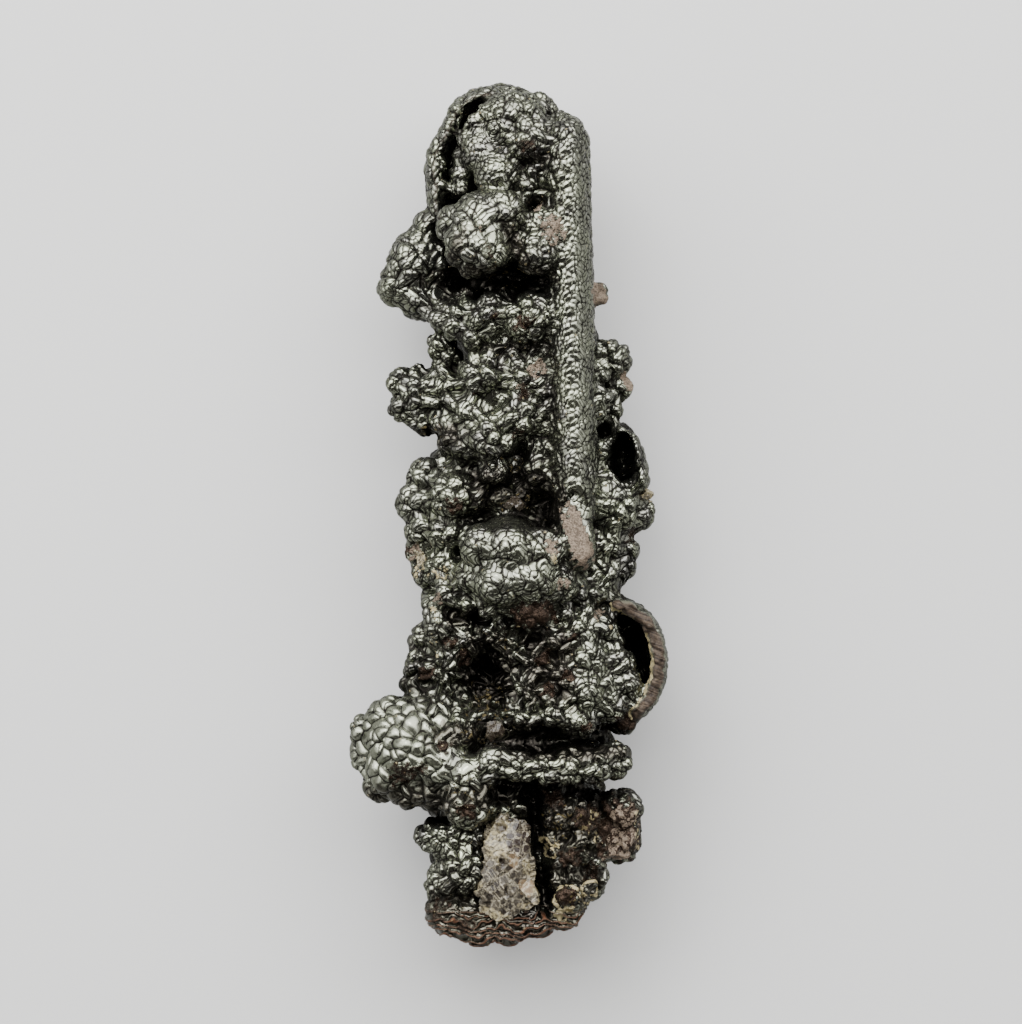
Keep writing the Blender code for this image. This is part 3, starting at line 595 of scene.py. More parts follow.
def crevice_depth(places):
    """How deep each place lies between walls on two opposite sides, in millimetres."""
    tops, across, along = top_map(places)
    depth = np.zeros(len(places))
    for step_x, step_y in ((1, 0), (0, 1), (1, 1), (1, -1)):
        walls = []
        for way in (-1, 1):
            wall = np.zeros_like(tops)
            for steps in range(2, CREVICE_REACH + 1):
                shift = (step_x * steps * way, step_y * steps * way)
                wall = np.maximum(wall, np.roll(tops, shift, axis=(0, 1)))
            walls.append(wall[across, along])
        depth = np.maximum(depth, np.minimum(*walls) - places[:, 2])
    return depth


def line_distance(places, points):
    """How far the nearest point of a line on the front is, less than nought on its right."""
    best = np.full(len(places), 100.0)
    for (x0, y0), (x1, y1) in zip(points, points[1:]):
        run_x, run_y = x1 - x0, y1 - y0
        length = math.hypot(run_x, run_y)
        off_x, off_y = places[:, 0] - x0, places[:, 1] - y0
        share = np.clip((off_x * run_x + off_y * run_y) / length ** 2, 0.0, 1.0)
        gap = np.hypot(off_x - share * run_x, off_y - share * run_y)
        side = np.where(run_x * off_y - run_y * off_x > 0.0, 1.0, -1.0)
        best = np.where(gap < np.abs(best), gap * side, best)
    return best


def refine_front(mass):
    """Halves the edges of the skin that nothing stands over."""
    places, ways = skin_of(mass)
    tops, across, along = top_map(places)
    seen = (places[:, 2] > tops[across, along] - VIEW_DEPTH) & (ways[:, 2] > -0.3)
    corners = read(mass.data.loops, "vertex_index", kind=np.int32)
    starts = read(mass.data.polygons, "loop_start", kind=np.int32)
    chosen = np.logical_and.reduceat(seen[corners], starts)
    make_active(mass)
    bpy.context.tool_settings.mesh_select_mode = (False, False, True)
    bpy.ops.object.mode_set(mode="EDIT")
    bpy.ops.mesh.select_all(action="DESELECT")
    bpy.ops.object.mode_set(mode="OBJECT")
    mass.data.polygons.foreach_set("select", chosen)
    bpy.ops.object.mode_set(mode="EDIT")
    bpy.ops.mesh.subdivide(number_cuts=1, ngon=False)
    bpy.ops.object.mode_set(mode="OBJECT")
    return smooth(mass, 0.5, 3)


def break_cutter(point, facing, half_size):
    """A box that stands outside a plane, which goes through the point and looks the given way."""
    deselect_all()
    way = Vector(facing).normalized()
    middle = (Vector(point) + way * half_size) * MM
    bpy.ops.mesh.primitive_cube_add(
        size=2.0 * half_size * MM,
        location=middle,
        rotation=way.to_track_quat("Z", "Y").to_euler(),
    )
    bpy.ops.object.transform_apply(location=True, rotation=True, scale=True)
    return bpy.context.object


def skin_of(piece):
    """Places and outward ways of a piece's vertices, with the places in millimetres."""
    vertices = piece.data.vertices
    return read(vertices, "co", 3).astype(float) / MM, read(vertices, "normal", 3).astype(float)


def set_skin(piece, places):
    piece.data.vertices.foreach_set("co", (places * MM).astype(np.float32).ravel())
    piece.data.update()


def soft_step(low, high, values):
    """Nought at the low value and one at the high one, which may be the lesser of the two."""
    share = np.clip((values - low) / (high - low), 0.0, 1.0)
    return share * share * (3.0 - 2.0 * share)


def region_values(places, field):
    """The value that a place's region gives to one of its fields, with soft borders."""
    front = soft_step(*FRONT_FROM, places[:, 2])
    usual = getattr(USUAL, field)
    unseen = getattr(UNSEEN, field)
    values = unseen + (usual - unseen) * front
    for region in (Region(*row) for row in REGIONS):
        across = (places[:, 0] - region.x) / region.half_x
        along = (places[:, 1] - region.y) / region.half_y
        inside = 1.0 - soft_step(1.0 - REGION_EDGE, 1.0 + REGION_EDGE, np.hypot(across, along))
        weight = inside * front
        values = values + (getattr(region, field) - values) * weight
    return values


def scatter(places, spacing, chance, share):
    """Indices of vertices picked at random, none nearer to another than its own spacing."""
    picked = chance.permutation(len(places))[: int(len(places) * share)]
    cells = {}
    kept = []
    for index in picked:
        x, y, z = places[index]
        gap = spacing[index]
        limit = gap * gap
        home = (int(x // SCATTER_CELL), int(y // SCATTER_CELL), int(z // SCATTER_CELL))
        reach = math.ceil(gap / SCATTER_CELL)
        near = itertools.product(*(range(i - reach, i + reach + 1) for i in home))
        if not any((x - a) ** 2 + (y - b) ** 2 + (z - c) ** 2 < limit
                   for cell in itertools.chain((home,), near) for a, b, c in cells.get(cell, ())):
            cells.setdefault(home, []).append((x, y, z))
            kept.append(index)
    return np.array(kept)


def wandered(places):
    """The places after a slow wander to and fro."""
    depth, turn = WANDER
    x, y, z = places.T * turn
    return places + depth * np.stack((
        np.sin(y + 0.7 * z + 0.4 * np.sin(x)),
        np.sin(0.8 * x - z + 1.3),
        np.sin(x + 0.9 * y + 2.1),
    ), axis=1)


def domes(places, spacing, fall, chance, share, tilt):
    """Low domes round scattered points, which meet in creases.

    Returns how high the skin stands over its knobs' tops and how far the nearest crease is.
    """
    places = wandered(places)
    odd = chance.uniform(*ODD_SIZES, len(places))
    seeds = scatter(places, spacing * odd, chance, share)
    tree = tree_of(places[seeds])
    near = np.empty((len(places), NEAREST, 2))
    for number, place in enumerate(places):
        near[number] = [(seed, gap) for _, seed, gap in tree.find_n(place, NEAREST)]
    chosen = near[:, :, 0].astype(int)
    curve = (fall[seeds] / odd[seeds] / (spacing[seeds] / 2.0) ** 2)[chosen]
    low = (chance.uniform(0.0, UNEVEN, len(seeds)) * fall[seeds])[chosen]
    heights = -low - curve * near[:, :, 1] ** 2
    leans = chance.normal(0.0, 1.0, (len(seeds), 3)) * tilt
    offsets = places[:, None, :] - places[seeds][chosen]
    heights += np.einsum("ijk,ijk->ij", leans[chosen], offsets)
    order = np.argsort(-heights, axis=1)[:, :2]
    rows = np.arange(len(places))
    first, second = heights[rows, order[:, 0]], heights[rows, order[:, 1]]
    ends = places[seeds][chosen[rows[:, None], order]]
    apart = np.linalg.norm(ends[:, 0] - ends[:, 1], axis=1)
    steep = 2.0 * curve[rows, order[:, 0]] * np.maximum(apart, 0.2) + tilt
    tone = chance.uniform(0.0, 1.0, len(seeds))[chosen[rows, order[:, 0]]]
    return first, (first - second) / np.maximum(steep, 0.01), tone


def layers(places, front):
    """Thin wavy layers along the foot."""
    wave = places[:, 1] + 0.25 * places[:, 2]
    for turn, drift, depth in LAYER_WAVES:
        wave += depth * np.sin(places[:, 0] * turn + places[:, 1] * drift)
    share = 1.0 - np.abs((wave / LAYER_SPACING) % 1.0 * 2.0 - 1.0)
    inside = soft_step(*LAYERS_FROM, places[:, 1]) * front
    return LAYER_RELIEF * (share ** 1.6 - 0.4), inside * soft_step(0.70, 0.92, share), inside


def swell(mass, chance):
    """Works out how the skin swells into knobs and scales, and stores it on the skin."""
    places, ways = skin_of(mass)
    knobs, knob_gap, knob_tone = domes(
        places, region_values(places, "knobs"), region_values(places, "knob_fall"),
        chance, KNOB_TRIES, KNOB_TILT,
    )
    scales, scale_gap, tone = domes(
        places, region_values(places, "scales"), region_values(places, "scale_fall"),
        chance, SCALE_TRIES, SCALE_TILT,
    )
    front = soft_step(*FRONT_FROM, places[:, 2])
    relief, rust, layered = layers(places, front)
    shell_rim = line_distance(places, SHELL_CURL)
    crown_rim = line_distance(places, CROWN_CURL)
    raised = soft_step(*RAISED, places[:, 2])
    rim = soft_step(*SHELL_RIM, np.abs(shell_rim)) * raised
    plain = (1.0 - rim) * (1.0 - layered)
    steep = soft_step(0.0, 0.20, region_values(places, "knob_fall"))
    rough = soft_step(0.0, 0.04, region_values(places, "scale_fall")) * plain
    lift = np.maximum(KNOB_TOP + knobs, KNOB_FOOT) * (1.0 - 0.7 * layered) + scales * plain
    lift += relief * layered
    lift += rim * RIM_WEAR * np.sin(places[:, 0] * 3.1 + places[:, 1] * 1.7) * np.sin(places[:, 1] * 2.3)
    for (depth, width), gap, part in ((KNOB_GROOVE, knob_gap, steep), (SCALE_GROOVE, scale_gap, rough)):
        lift -= depth * part * (1.0 - soft_step(0.0, width, gap))
    # The distance to the nearest crease, along which the material paints shade.
    store(mass, "crease", np.minimum(scale_gap, knob_gap * 0.7 + (1.0 - steep)) + 1.0 - plain)
    store(mass, "tone", 0.6 * tone + 0.4 * knob_tone)
    # How deep each place lies in a crevice, which the material darkens there as painted shade.
    store(mass, "crevice", crevice_depth(places))
    store(mass, "rust", rust)
    store(mass, "along", (places[:, 1] + places[:, 0] * 0.4) * MM)
    store(mass, "rim", np.maximum(rim, soft_step(*CROWN_RIM, np.abs(crown_rim)) * raised * CROWN_RIM_SHARE))
    cream_line = soft_step(*CREAM_WIDTH, np.abs(shell_rim + CREAM_INSET)) * raised
    for x, y, radius in CREAM_RINGS:
        off = np.abs(np.hypot(places[:, 0] - x, places[:, 1] - y) - radius)
        cream_line = np.maximum(cream_line, 0.75 * front * (1.0 - soft_step(0.15, 0.5, off)))
    store(mass, "cream", np.maximum(cream_line, patch_values(places, CREAM_PATCHES)))
    # Painted shade in the recesses, the crevices and under lobes, and over the layers of the foot.
    store(mass, "dull", np.maximum(patch_values(places, PAINTED_SHADE_PATCHES), layered * LAYER_PAINTED_SHADE))
    for name, patches in (("satin", SATIN_AND_HIGHLIGHT_PATCHES), ("brown", BROWN_PATCHES), ("tan", TAN_PATCHES),
                          ("ochre", OCHRE_PATCHES)):
        store(mass, name, patch_values(places, patches))
    store(mass, "ring", ring_values(places))
    set_skin(mass, lifted(places, ways, lift))
    store_ways(mass, SHADE, skin_of(mass)[1])


def lifted(places, ways, lift):
    moved = places + ways * lift[:, None]
    moved[:, 2] = np.maximum(moved[:, 2], 0.0)
    return moved


def store(piece, name, values):
    layer = piece.data.attributes.new(name, "FLOAT", "POINT")
    layer.data.foreach_set("value", np.asarray(values, dtype=np.float32))


def store_ways(piece, name, ways):
    layer = piece.data.attributes.new(name, "FLOAT_VECTOR", "POINT")
    layer.data.foreach_set("vector", ways.astype(np.float32).ravel())


def half_space(foot, above):
    """A box on one side of a level across the mass."""
    deselect_all()
    shift = HALF_BOX if above else -HALF_BOX
    bpy.ops.mesh.primitive_cube_add(size=2.0 * HALF_BOX * MM, location=(0.0, (foot + shift) * MM, 0.0))
    return bpy.context.object


def part_in_bands(mass):
    """Parts the swollen mass across its length into closed pieces, shaded as one."""
    beside = values_beside_cuts(mass)
    pieces = []
    rest = mass
    for name, foot in BANDS[:-1]:
        upper = make_active(rest).copy()
        upper.data = rest.data.copy()
        bpy.context.collection.objects.link(upper)
        cut(upper, half_space(foot, above=False))
        cut(rest, half_space(foot, above=True))
        upper.name = name
        pieces.append(upper)
    rest.name = BANDS[-1][0]
    pieces.append(rest)
    for piece in pieces:
        shade_as_one(piece, on_cut(piece), beside)
    return pieces


def on_cut(piece):
    """Which vertices of a piece lie on one of the cuts."""
    along = read(piece.data.vertices, "co", 3)[:, 1] / MM
    return np.any([np.abs(along - foot) < CUT_SLACK for _, foot in BANDS], axis=0)


def values_beside_cuts(mass):
    """The places and stored values of the skin beside the cuts."""
    places, _ = skin_of(mass)
    near = np.flatnonzero(np.any([np.abs(places[:, 1] - foot) < BESIDE for _, foot in BANDS], axis=0))
    stored = {
        layer.name: read(layer.data, "value")[near]
        for layer in mass.data.attributes
        if layer.domain == "POINT" and layer.data_type == "FLOAT"
    }
    stored[SHADE] = read(mass.data.attributes[SHADE].data, "vector", 3)[near]
    return tree_of(places[near]), stored


def shade_as_one(piece, cut_marks, beside):
    """Fills in the values on the cuts and shades the piece as the whole mass would be."""
    mesh = piece.data
    tree, stored = beside
    made = np.flatnonzero(cut_marks)
    places, _ = skin_of(piece)
    found = [tree.find_n(places[index], NEAREST) for index in made]
    chosen = np.array([[number for _, number, _ in hits] for hits in found])
    weights = np.array([[1.0 / (gap + 0.01) ** 2 for _, _, gap in hits] for hits in found])
    weights /= weights.sum(axis=1, keepdims=True)
    for name, values in stored.items():
        layer = mesh.attributes[name].data
        if name == SHADE:
            ways = read(layer, "vector", 3)
            ways[made] = np.einsum("ij,ijk->ik", weights, values[chosen])
        else:
            held = read(layer, "value")
            held[made] = (weights * values[chosen]).sum(axis=1)
            layer.foreach_set("value", held)
    mesh.attributes.remove(mesh.attributes[SHADE])
    make_active(piece)
    bpy.ops.object.shade_smooth()
    corners = read(mesh.loops, "vertex_index", kind=np.int32)
    normals = ways[corners].astype(float)
    normals /= np.maximum(np.linalg.norm(normals, axis=1, keepdims=True), 1e-6)
    starts = read(mesh.polygons, "loop_start", kind=np.int32)
    for index in np.flatnonzero(np.logical_and.reduceat(cut_marks[corners], starts)):
        face = mesh.polygons[index]
        normals[face.loop_start:face.loop_start + face.loop_total] = face.normal
    mesh.normals_split_custom_set(normals.tolist())


# Patches of colour on the front: the middle, the half sizes, a turn in degrees, and how
# whole the patch is.
Patch = namedtuple("Patch", "x y half_x half_y turn whole", defaults=[0.0, 1.0])
BROWN_PATCHES = [
    (5, -21, 4.8, 2.6, 10, 0.95), (3, 38, 2.2, 1.8, 0, 0.75), (-2.5, 39.5, 1.6, 1, 0, 0.6),
    (-11, 1.2, 1.8, 1.6, 0, 0.8), (-12, -26.5, 1.6, 1.4, 0, 0.8), (-9, -30, 1.3, 1.8, 0, 0.8),
    (-17, -33, 1.9, 1.5, 0, 0.85), (-21.5, -53, 2.6, 2.2, 0, 0.75), (-17.5, -52, 1.6, 1.4, 0, 0.7),
    (-4, 52, 1.2, 1.8, 0, 0.55), (-20, -8, 1.6, 1.4, 0, 0.7), (7, -29.5, 1.5, 1.8, 0, 0.8),
    (8, -36, 1.4, 1.5, 0, 0.75), (12, -33, 1.5, 1.3, 0, 0.8), (16, -44, 1.4, 1.2, 0, 0.7),
    (23, -65, 4.6, 6), (16, -62, 3, 2.4, 0, 0.8), (12.5, -70, 2.8, 2, 0, 0.8), (11.7, -78, 2.3, 2.2),
    (9, -58, 2.4, 2, 0, 0.7), (-14, -81, 2.4, 2.4, 0, 0.6), (-9, -84, 2.6, 1.6, 0, 0.6),
    (3, 24.5, 1.6, 1.4, 0, 0.6), (2, 15.5, 1.2, 1.4, 0, 0.65), (-8.5, -60.5, 2.2, 1.6, 0, 0.8),
    (24, -43, 2.6, 1.8, 0, 0.9), (4, 74, 1.6, 1.4, 0, 0.6), (-20, -20.5, 1.2, 1.2, 0, 0.6),
    (-13, -47.5, 1.8, 1.6, 0, 0.6), (13, -25.5, 1, 1.2, 0, 0.7), (-7, 24, 1.2, 1, 0, 0.5),
    (25.5, -4.5, 1.4, 1.6, 0, 0.6), (17, -73, 1.6, 2.2, 0, 0.6),
]
TAN_PATCHES = [
    (6, 29.2, 1.7, 1.8, 30, 0.66), (9, 57, 3, 3.2, 20, 0.62), (18.6, 44.5, 1.7, 2.4, 15),
    (24.6, 26.5, 0.9, 2, 10, 0.75), (13.9, -4.8, 2.1, 6.4, 14), (-14.5, -17.5, 1.1, 1.4, 0, 0.6),
    (-19, -8.5, 1.6, 1.8, 0, 0.6), (11, -14.5, 1.5, 1.4, 0, 0.6), (8.8, -7.4, 1.6, 2.2, 30, 0.58),
    (18.5, -20.5, 1, 1.2, 0, 0.6), (6, 61.5, 1.2, 0.8, 30, 0.6), (23.4, -64.6, 3.4, 5.4, 0, 0.56),
    (22.4, -70.2, 3, 0.9, 10, 0.7), (2.5, 25.2, 1, 0.8, 0, 0.6), (-6, 57, 1.2, 0.9, 0, 0.5),
]
OCHRE_PATCHES = [
    (1, 48, 4.5, 2), (1.5, 2, 3, 2), (0, 9.5, 2.5, 1.5), (-3, -44, 3.5, 3), (-4, -39, 4, 4),
    (11, -64, 4.5, 4), (-9, -56, 3, 2), (-7, -44, 4, 2), (-1, -61, 3, 2), (14, -80, 3, 3), (-16, 16, 2, 2),
    (0, -27, 2.5, 1.5),
]
CREAM_PATCHES = [
    (10.8, -82, 1.5, 0.9, 0, 0.7), (17.2, -62, 0.9, 1.6, 0, 0.6), (18, -66, 0.6, 1.4, 0, 0.6),
    (9.2, -66.8, 1.3, 0.8, 0, 0.7), (17.4, -79.4, 2.2, 0.7, 30, 0.6), (-13.8, -12, 2.2, 1.8, 0, 0.55),
    (-18.5, -12, 1.2, 1.8, 0, 0.55), (9, -9.6, 0.9, 1, 0, 0.6), (-15, -21, 0.9, 2.6, 10, 0.6),
    (-15.2, -28, 0.7, 3, 5, 0.5), (26.2, -65, 0.5, 4, 0, 0.6), (21, -23.5, 0.5, 0.5),
]
CREAM_RINGS = [(8, -69, 1.2), (11.7, -78, 2.8), (17, -76.6, 1.7), (10.8, -82, 1.2), (7.2, -67, 0.7)]

# Where the skin has a satin finish, with a paler colour painted on as a highlight.
SATIN_AND_HIGHLIGHT_PATCHES = [
    (14.4, 40, 1.9, 41, 0, 0.6), (-23, -48, 12, 11, 0, 0.85), (-8, -57, 6, 4, 0, 0.6),
    (1, -11, 9, 6, 0, 0.45), (-17, 2, 8, 9, 0, 0.3), (-5, 57, 8, 7, 0, 0.25), (-21, 46, 7, 8, 0, 0.3),
    (22, 27, 5, 9, 0, 0.3), (-16, -29, 2, 10, 5, 0.6), (18, -31, 4, 9, 0, 0.4), (-16, -76, 3, 9, 0, 0.6),
]

# Painted shade: where the skin is painted nearly black, in the recesses and crevices and under overhanging
# lobes.
PAINTED_SHADE_PATCHES = [
    (-4, -32, 5, 7.5), (8, -31, 6, 9, 0, 0.75), (-3, -45, 13, 2.6, 0, 0.85), (13, -63, 12, 8, 0, 0.85),
    (12, -76, 8, 6, 0, 0.7), (-11, -82, 8, 5, 0, 0.8), (-2, -57.5, 8, 2.5, 0, 0.85),
    (1, 5, 10, 4.5, 0, 0.7), (-4, 47.5, 14, 2, 0, 0.8), (8.8, 18, 2, 14, 0, 0.4),
    (-15, 15.5, 6, 2.4, 0, 0.7), (-20, -59, 12, 4, 0, 0.7), (5.5, 71.4, 3.2, 1.2, 0, 0.7),
    (3.5, 74, 1.6, 1.2, 0, 0.7), (8.6, 1, 3, 5, 0, 0.8), (-10, -77, 6, 8, 0, 0.45),
    (14, -48.6, 14, 1.4, 0, 0.8), (0, 33.4, 8, 1, 0, 0.6), (-17, -30, 5, 9, 0, 0.4),
    (-9, -21.5, 4, 2, 0, 0.8), (5.6, 62, 2, 1.4, 40, 0.7), (1.5, 54, 1.4, 6, 25, 0.8),
    (-11, 52, 1.4, 6, -20, 0.7),
]

# Growth rings: the middle of each on the front.
RINGS = [(10.5, -13), (-3, 77), (-3, 8), (-16.5, -13), (8, -69)]
RING_REACH = 4.0


def patch_values(places, patches):
    """One on a patch, falling to nought past its edge."""
    values = np.zeros(len(places))
    front = soft_step(*FRONT_FROM, places[:, 2])
    ragged = 0.16 * np.sin(places[:, 0] * 2.3 + places[:, 1] * 1.1)
    ragged += 0.12 * np.sin(places[:, 1] * 3.1 - places[:, 0] * 2.7)
    for patch in (Patch(*row) for row in patches):
        turn = math.radians(patch.turn)
        off_x, off_y = places[:, 0] - patch.x, places[:, 1] - patch.y
        across = (off_x * math.cos(turn) + off_y * math.sin(turn)) / patch.half_x
        along = (off_y * math.cos(turn) - off_x * math.sin(turn)) / patch.half_y
        distance = (across ** 4 + along ** 4) ** 0.25 + ragged
        values = np.maximum(values, patch.whole * (1.0 - soft_step(0.6, 1.4, distance)))
    return values * front


def ring_values(places):
    """How far the middle of the nearest growth ring is, in millimetres."""
    values = np.full(len(places), RING_REACH)
    for x, y in RINGS:
        values = np.minimum(values, np.hypot(places[:, 0] - x, places[:, 1] - y))
    return values


def node_tree(material):
    material.use_nodes = True
    return material.node_tree


class Nodes:
    """Adds nodes to a tree and links them."""

    def __init__(self, tree):
        self.tree = tree

    def feed(self, socket, value):
        if isinstance(value, bpy.types.NodeSocket):
            self.tree.links.new(value, socket)
        else:
            socket.default_value = value

    def add(self, kind, inputs=None, **settings):
        node = self.tree.nodes.new(kind)
        for name, value in settings.items():
            setattr(node, name, value)
        for name, value in (inputs or {}).items():
            self.feed(node.inputs[name], value)
        return node

    def math(self, operation, first, second=0.0):
        return self.add("ShaderNodeMath", {0: first, 1: second}, operation=operation).outputs[0]

    def plus(self, first, second):
        return self.math("ADD", first, second)

    def minus(self, first, second):
        return self.math("SUBTRACT", first, second)

    def times(self, first, second):
        return self.math("MULTIPLY", first, second)

    def most(self, first, second):
        return self.math("MAXIMUM", first, second)

    def mix(self, share, first, second):
        first, second = (value if isinstance(value, bpy.types.NodeSocket) else (*value, 1.0)
                         for value in (first, second))
        return self.add("ShaderNodeMix", {"Factor": share, 6: first, 7: second}, data_type="RGBA").outputs[2]

    def blend(self, share, first, second):
        return self.add("ShaderNodeMix", {"Factor": share, 2: first, 3: second}, data_type="FLOAT").outputs[0]

    def step(self, value, low, high, out_low=0.0, out_high=1.0):
        return self.add(
            "ShaderNodeMapRange",
            {"Value": value, "From Min": low, "From Max": high, "To Min": out_low, "To Max": out_high},
            interpolation_type="SMOOTHSTEP",
        ).outputs[0]

    def noise(self, place, size, detail=2.0, roughness=0.5):
        """Noise whose lumps are about this size, in metres."""
        inputs = {"Vector": place, "Scale": 1.0 / size, "Detail": detail, "Roughness": roughness}
        return self.add("ShaderNodeTexNoise", inputs).outputs["Fac"]

    def marks(self, names):
        """The values that are stored on the piece under these names."""
        return {name: self.add("ShaderNodeAttribute", attribute_name=name).outputs["Fac"] for name in names}

    def finish(self, specular, height, inputs):
        """Links the finished values to the shader, and the height through a bump."""
        shader = self.tree.nodes["Principled BSDF"]
        shader.inputs["Specular IOR Level"].default_value = specular
        bump = self.add("ShaderNodeBump", {"Height": height, "Strength": 0.8, "Distance": 1.0})
        for name, value in {**inputs, "Normal": bump.outputs["Normal"]}.items():
            self.feed(shader.inputs[name], value)


def goethite_material(looks):
    made = bpy.data.materials.new("goethite_skin")
    n = Nodes(node_tree(made))
    place = n.add("ShaderNodeTexCoord").outputs["Object"]
    marks = n.marks(("crease", "crevice", "tone", "brown", "tan", "ochre", "ring", "rust", "rim", "cream",
                     "along", "dull", "satin"))

    broad = n.noise(place, 0.007, 3.0)
    fine = n.noise(place, 0.0012, 4.0, 0.6)
    grit = n.noise(place, 0.00035, 2.0, 0.6)

    wander = n.times(n.minus(fine, 0.5), 1.6)
    brown = n.step(n.plus(marks["brown"], wander), 0.35, 0.75)
    crumbled = n.plus(wander, n.times(n.minus(grit, 0.5), 0.8))
    tan = n.step(n.plus(marks["tan"], n.times(crumbled, 0.8)), 0.46, 0.62)
    ochre = n.times(n.step(marks["ochre"], 0.2, 0.8), n.step(fine, 0.57, 0.64))
    speck = n.plus(marks["cream"], n.times(wander, 2.0))
    cream = n.step(speck, 0.55, 0.75)

    # Painted shade: the crease colour is laid along the creases between the scales, broken here and there by
    # fine noise.
    open_skin = n.step(n.minus(marks["crease"], n.times(broad, 0.08)), 0.0, 0.20)
    open_skin = n.most(open_skin, n.step(fine, 0.54, 0.72, 0.0, 0.5))
    tone = n.plus(n.times(broad, 0.8), n.times(marks["tone"], 0.45))
    metal = n.mix(n.step(tone, 0.4, 0.95), looks["gloss"], looks["gloss_dark"])
    # Painted shade: the skin goes nearly black where the painted shade mark lies.
    dull = n.step(n.plus(marks["dull"], n.times(wander, 0.5)), 0.1, 0.8, 0.0, 0.85)
    # Painted highlight: the satin patches get a paler metal colour, and a rougher finish below.
    metal = n.mix(n.times(marks["satin"], 0.8), metal, looks["satin"])
    metal = n.mix(dull, metal, looks["dull"])
    skin = n.mix(open_skin, looks["crease"], metal)
    # Painted shade: the deeper a crevice, the nearer the skin comes to the crease colour.
    skin = n.mix(n.step(marks["crevice"], 1.6, 6.5, 0.0, 0.92), skin, looks["crease"])
    skin = n.mix(marks["rust"], skin, looks["rust"])
    skin = n.mix(brown, skin, n.mix(n.step(grit, 0.4, 0.6), looks["brown_dark"], looks["brown"]))
    fibres = n.step(n.plus(grit, n.times(wander, 0.4)), 0.35, 0.65)
    threads = n.noise(n.add("ShaderNodeCombineXYZ", {"X": marks["along"]}).outputs[0], 0.0005, 2.0, 0.7)
    threads = n.step(n.plus(threads, n.times(wander, 0.25)), 0.38, 0.62)
    skin = n.mix(marks["rim"], skin, n.mix(threads, looks["rim_dark"], looks["rim"]))
    skin = n.mix(tan, skin, n.mix(fibres, looks["tan_dark"], looks["tan"]))
    skin = n.mix(cream, skin, looks["cream"])
    colour = n.mix(ochre, skin, looks["ochre"])

    stone = n.most(n.most(tan, ochre), n.most(marks["rim"], cream))
    stone = n.most(stone, marks["rust"])
    rough = n.blend(open_skin, 0.5, n.plus(n.times(fine, 0.13), 0.07))
    rough = n.plus(rough, n.times(marks["satin"], 0.17))
    rough = n.blend(brown, rough, 0.24)
    rough = n.blend(stone, rough, 0.55)
    metallic = n.blend(stone, n.blend(brown, 0.96, 0.7), 0.0)

    height = n.times(fine, 0.00004)
    rings = n.math("SINE", n.times(marks["ring"], 14.0))
    near_ring = n.minus(1.0, n.step(marks["ring"], 2.4, 3.4))
    height = n.plus(height, n.times(n.times(rings, near_ring), 0.00005))
    crumbs = n.plus(fine, n.times(grit, 0.4))
    crumbs = n.times(n.most(brown, stone), crumbs)
    height = n.plus(height, n.times(crumbs, 0.0005))
    n.finish(0.15, height, {"Base Color": colour, "Roughness": rough, "Metallic": metallic})
    return made


def calcite_material(looks):
    made = bpy.data.materials.new("calcite_cleavage")
    n = Nodes(node_tree(made))
    place = n.add("ShaderNodeTexCoord").outputs["Object"]
    marks = n.marks(("crack", "cream", "glass", "flake", "hole", "streak"))
    broad = n.noise(place, 0.003, 4.0, 0.6)
    fine = n.noise(place, 0.0007, 4.0, 0.65)
    lines = n.add("ShaderNodeMapping", {"Vector": place, "Rotation": (0.0, 0.0, math.radians(-52)),
                                        "Scale": (8.0, 1.0, 1.0)}, vector_type="TEXTURE").outputs[0]
    lines = n.noise(lines, 0.0005, 3.0, 0.6)
    wander = n.times(n.minus(broad, 0.5), 1.6)
    colour = n.mix(n.step(broad, 0.35, 0.65), looks["calcite"], looks["calcite_dark"])
    colour = n.mix(n.step(fine, 0.56, 0.70, 0.0, 0.3), colour, looks["calcite_pale"])
    for band, look in (((0.56, 0.68), "calcite_pale"), ((0.34, 0.44, 0.7, 0.0), "calcite_dark")):
        colour = n.mix(n.times(n.step(lines, *band), marks["streak"]), colour, looks[look])
    cream = n.step(n.plus(marks["cream"], wander), 0.35, 0.65)
    colour = n.mix(cream, colour, n.mix(n.step(fine, 0.4, 0.6), looks["calcite"], looks["cream"]))
    colour = n.mix(n.step(n.plus(marks["flake"], wander), 0.4, 0.6), colour, looks["flake"])
    glass = n.step(n.plus(marks["glass"], wander), 0.4, 0.6)
    colour = n.mix(glass, colour, looks["glass"])
    edge = n.times(n.step(marks["crack"], 0.06, 0.16), n.step(marks["crack"], 0.45, 0.25))
    colour = n.mix(n.times(edge, n.step(fine, 0.4, 0.6, 0.1, 0.8)), colour, looks["calcite_pale"])
    # Dark lines along the cracks, and painted shade in the holes and on the crystals in the crevices.
    dark = n.most(n.step(marks["crack"], 0.10, 0.02), marks["hole"])
    colour = n.mix(n.times(dark, 0.9), colour, looks["brown_dark"])
    rough = n.blend(glass, n.step(fine, 0.3, 0.7, 0.12, 0.38), 0.06)
    height = n.plus(n.times(fine, 0.00016), n.times(n.times(lines, marks["streak"]), 0.0004))
    n.finish(0.3, height, {"Base Color": colour, "Roughness": rough})
    return made


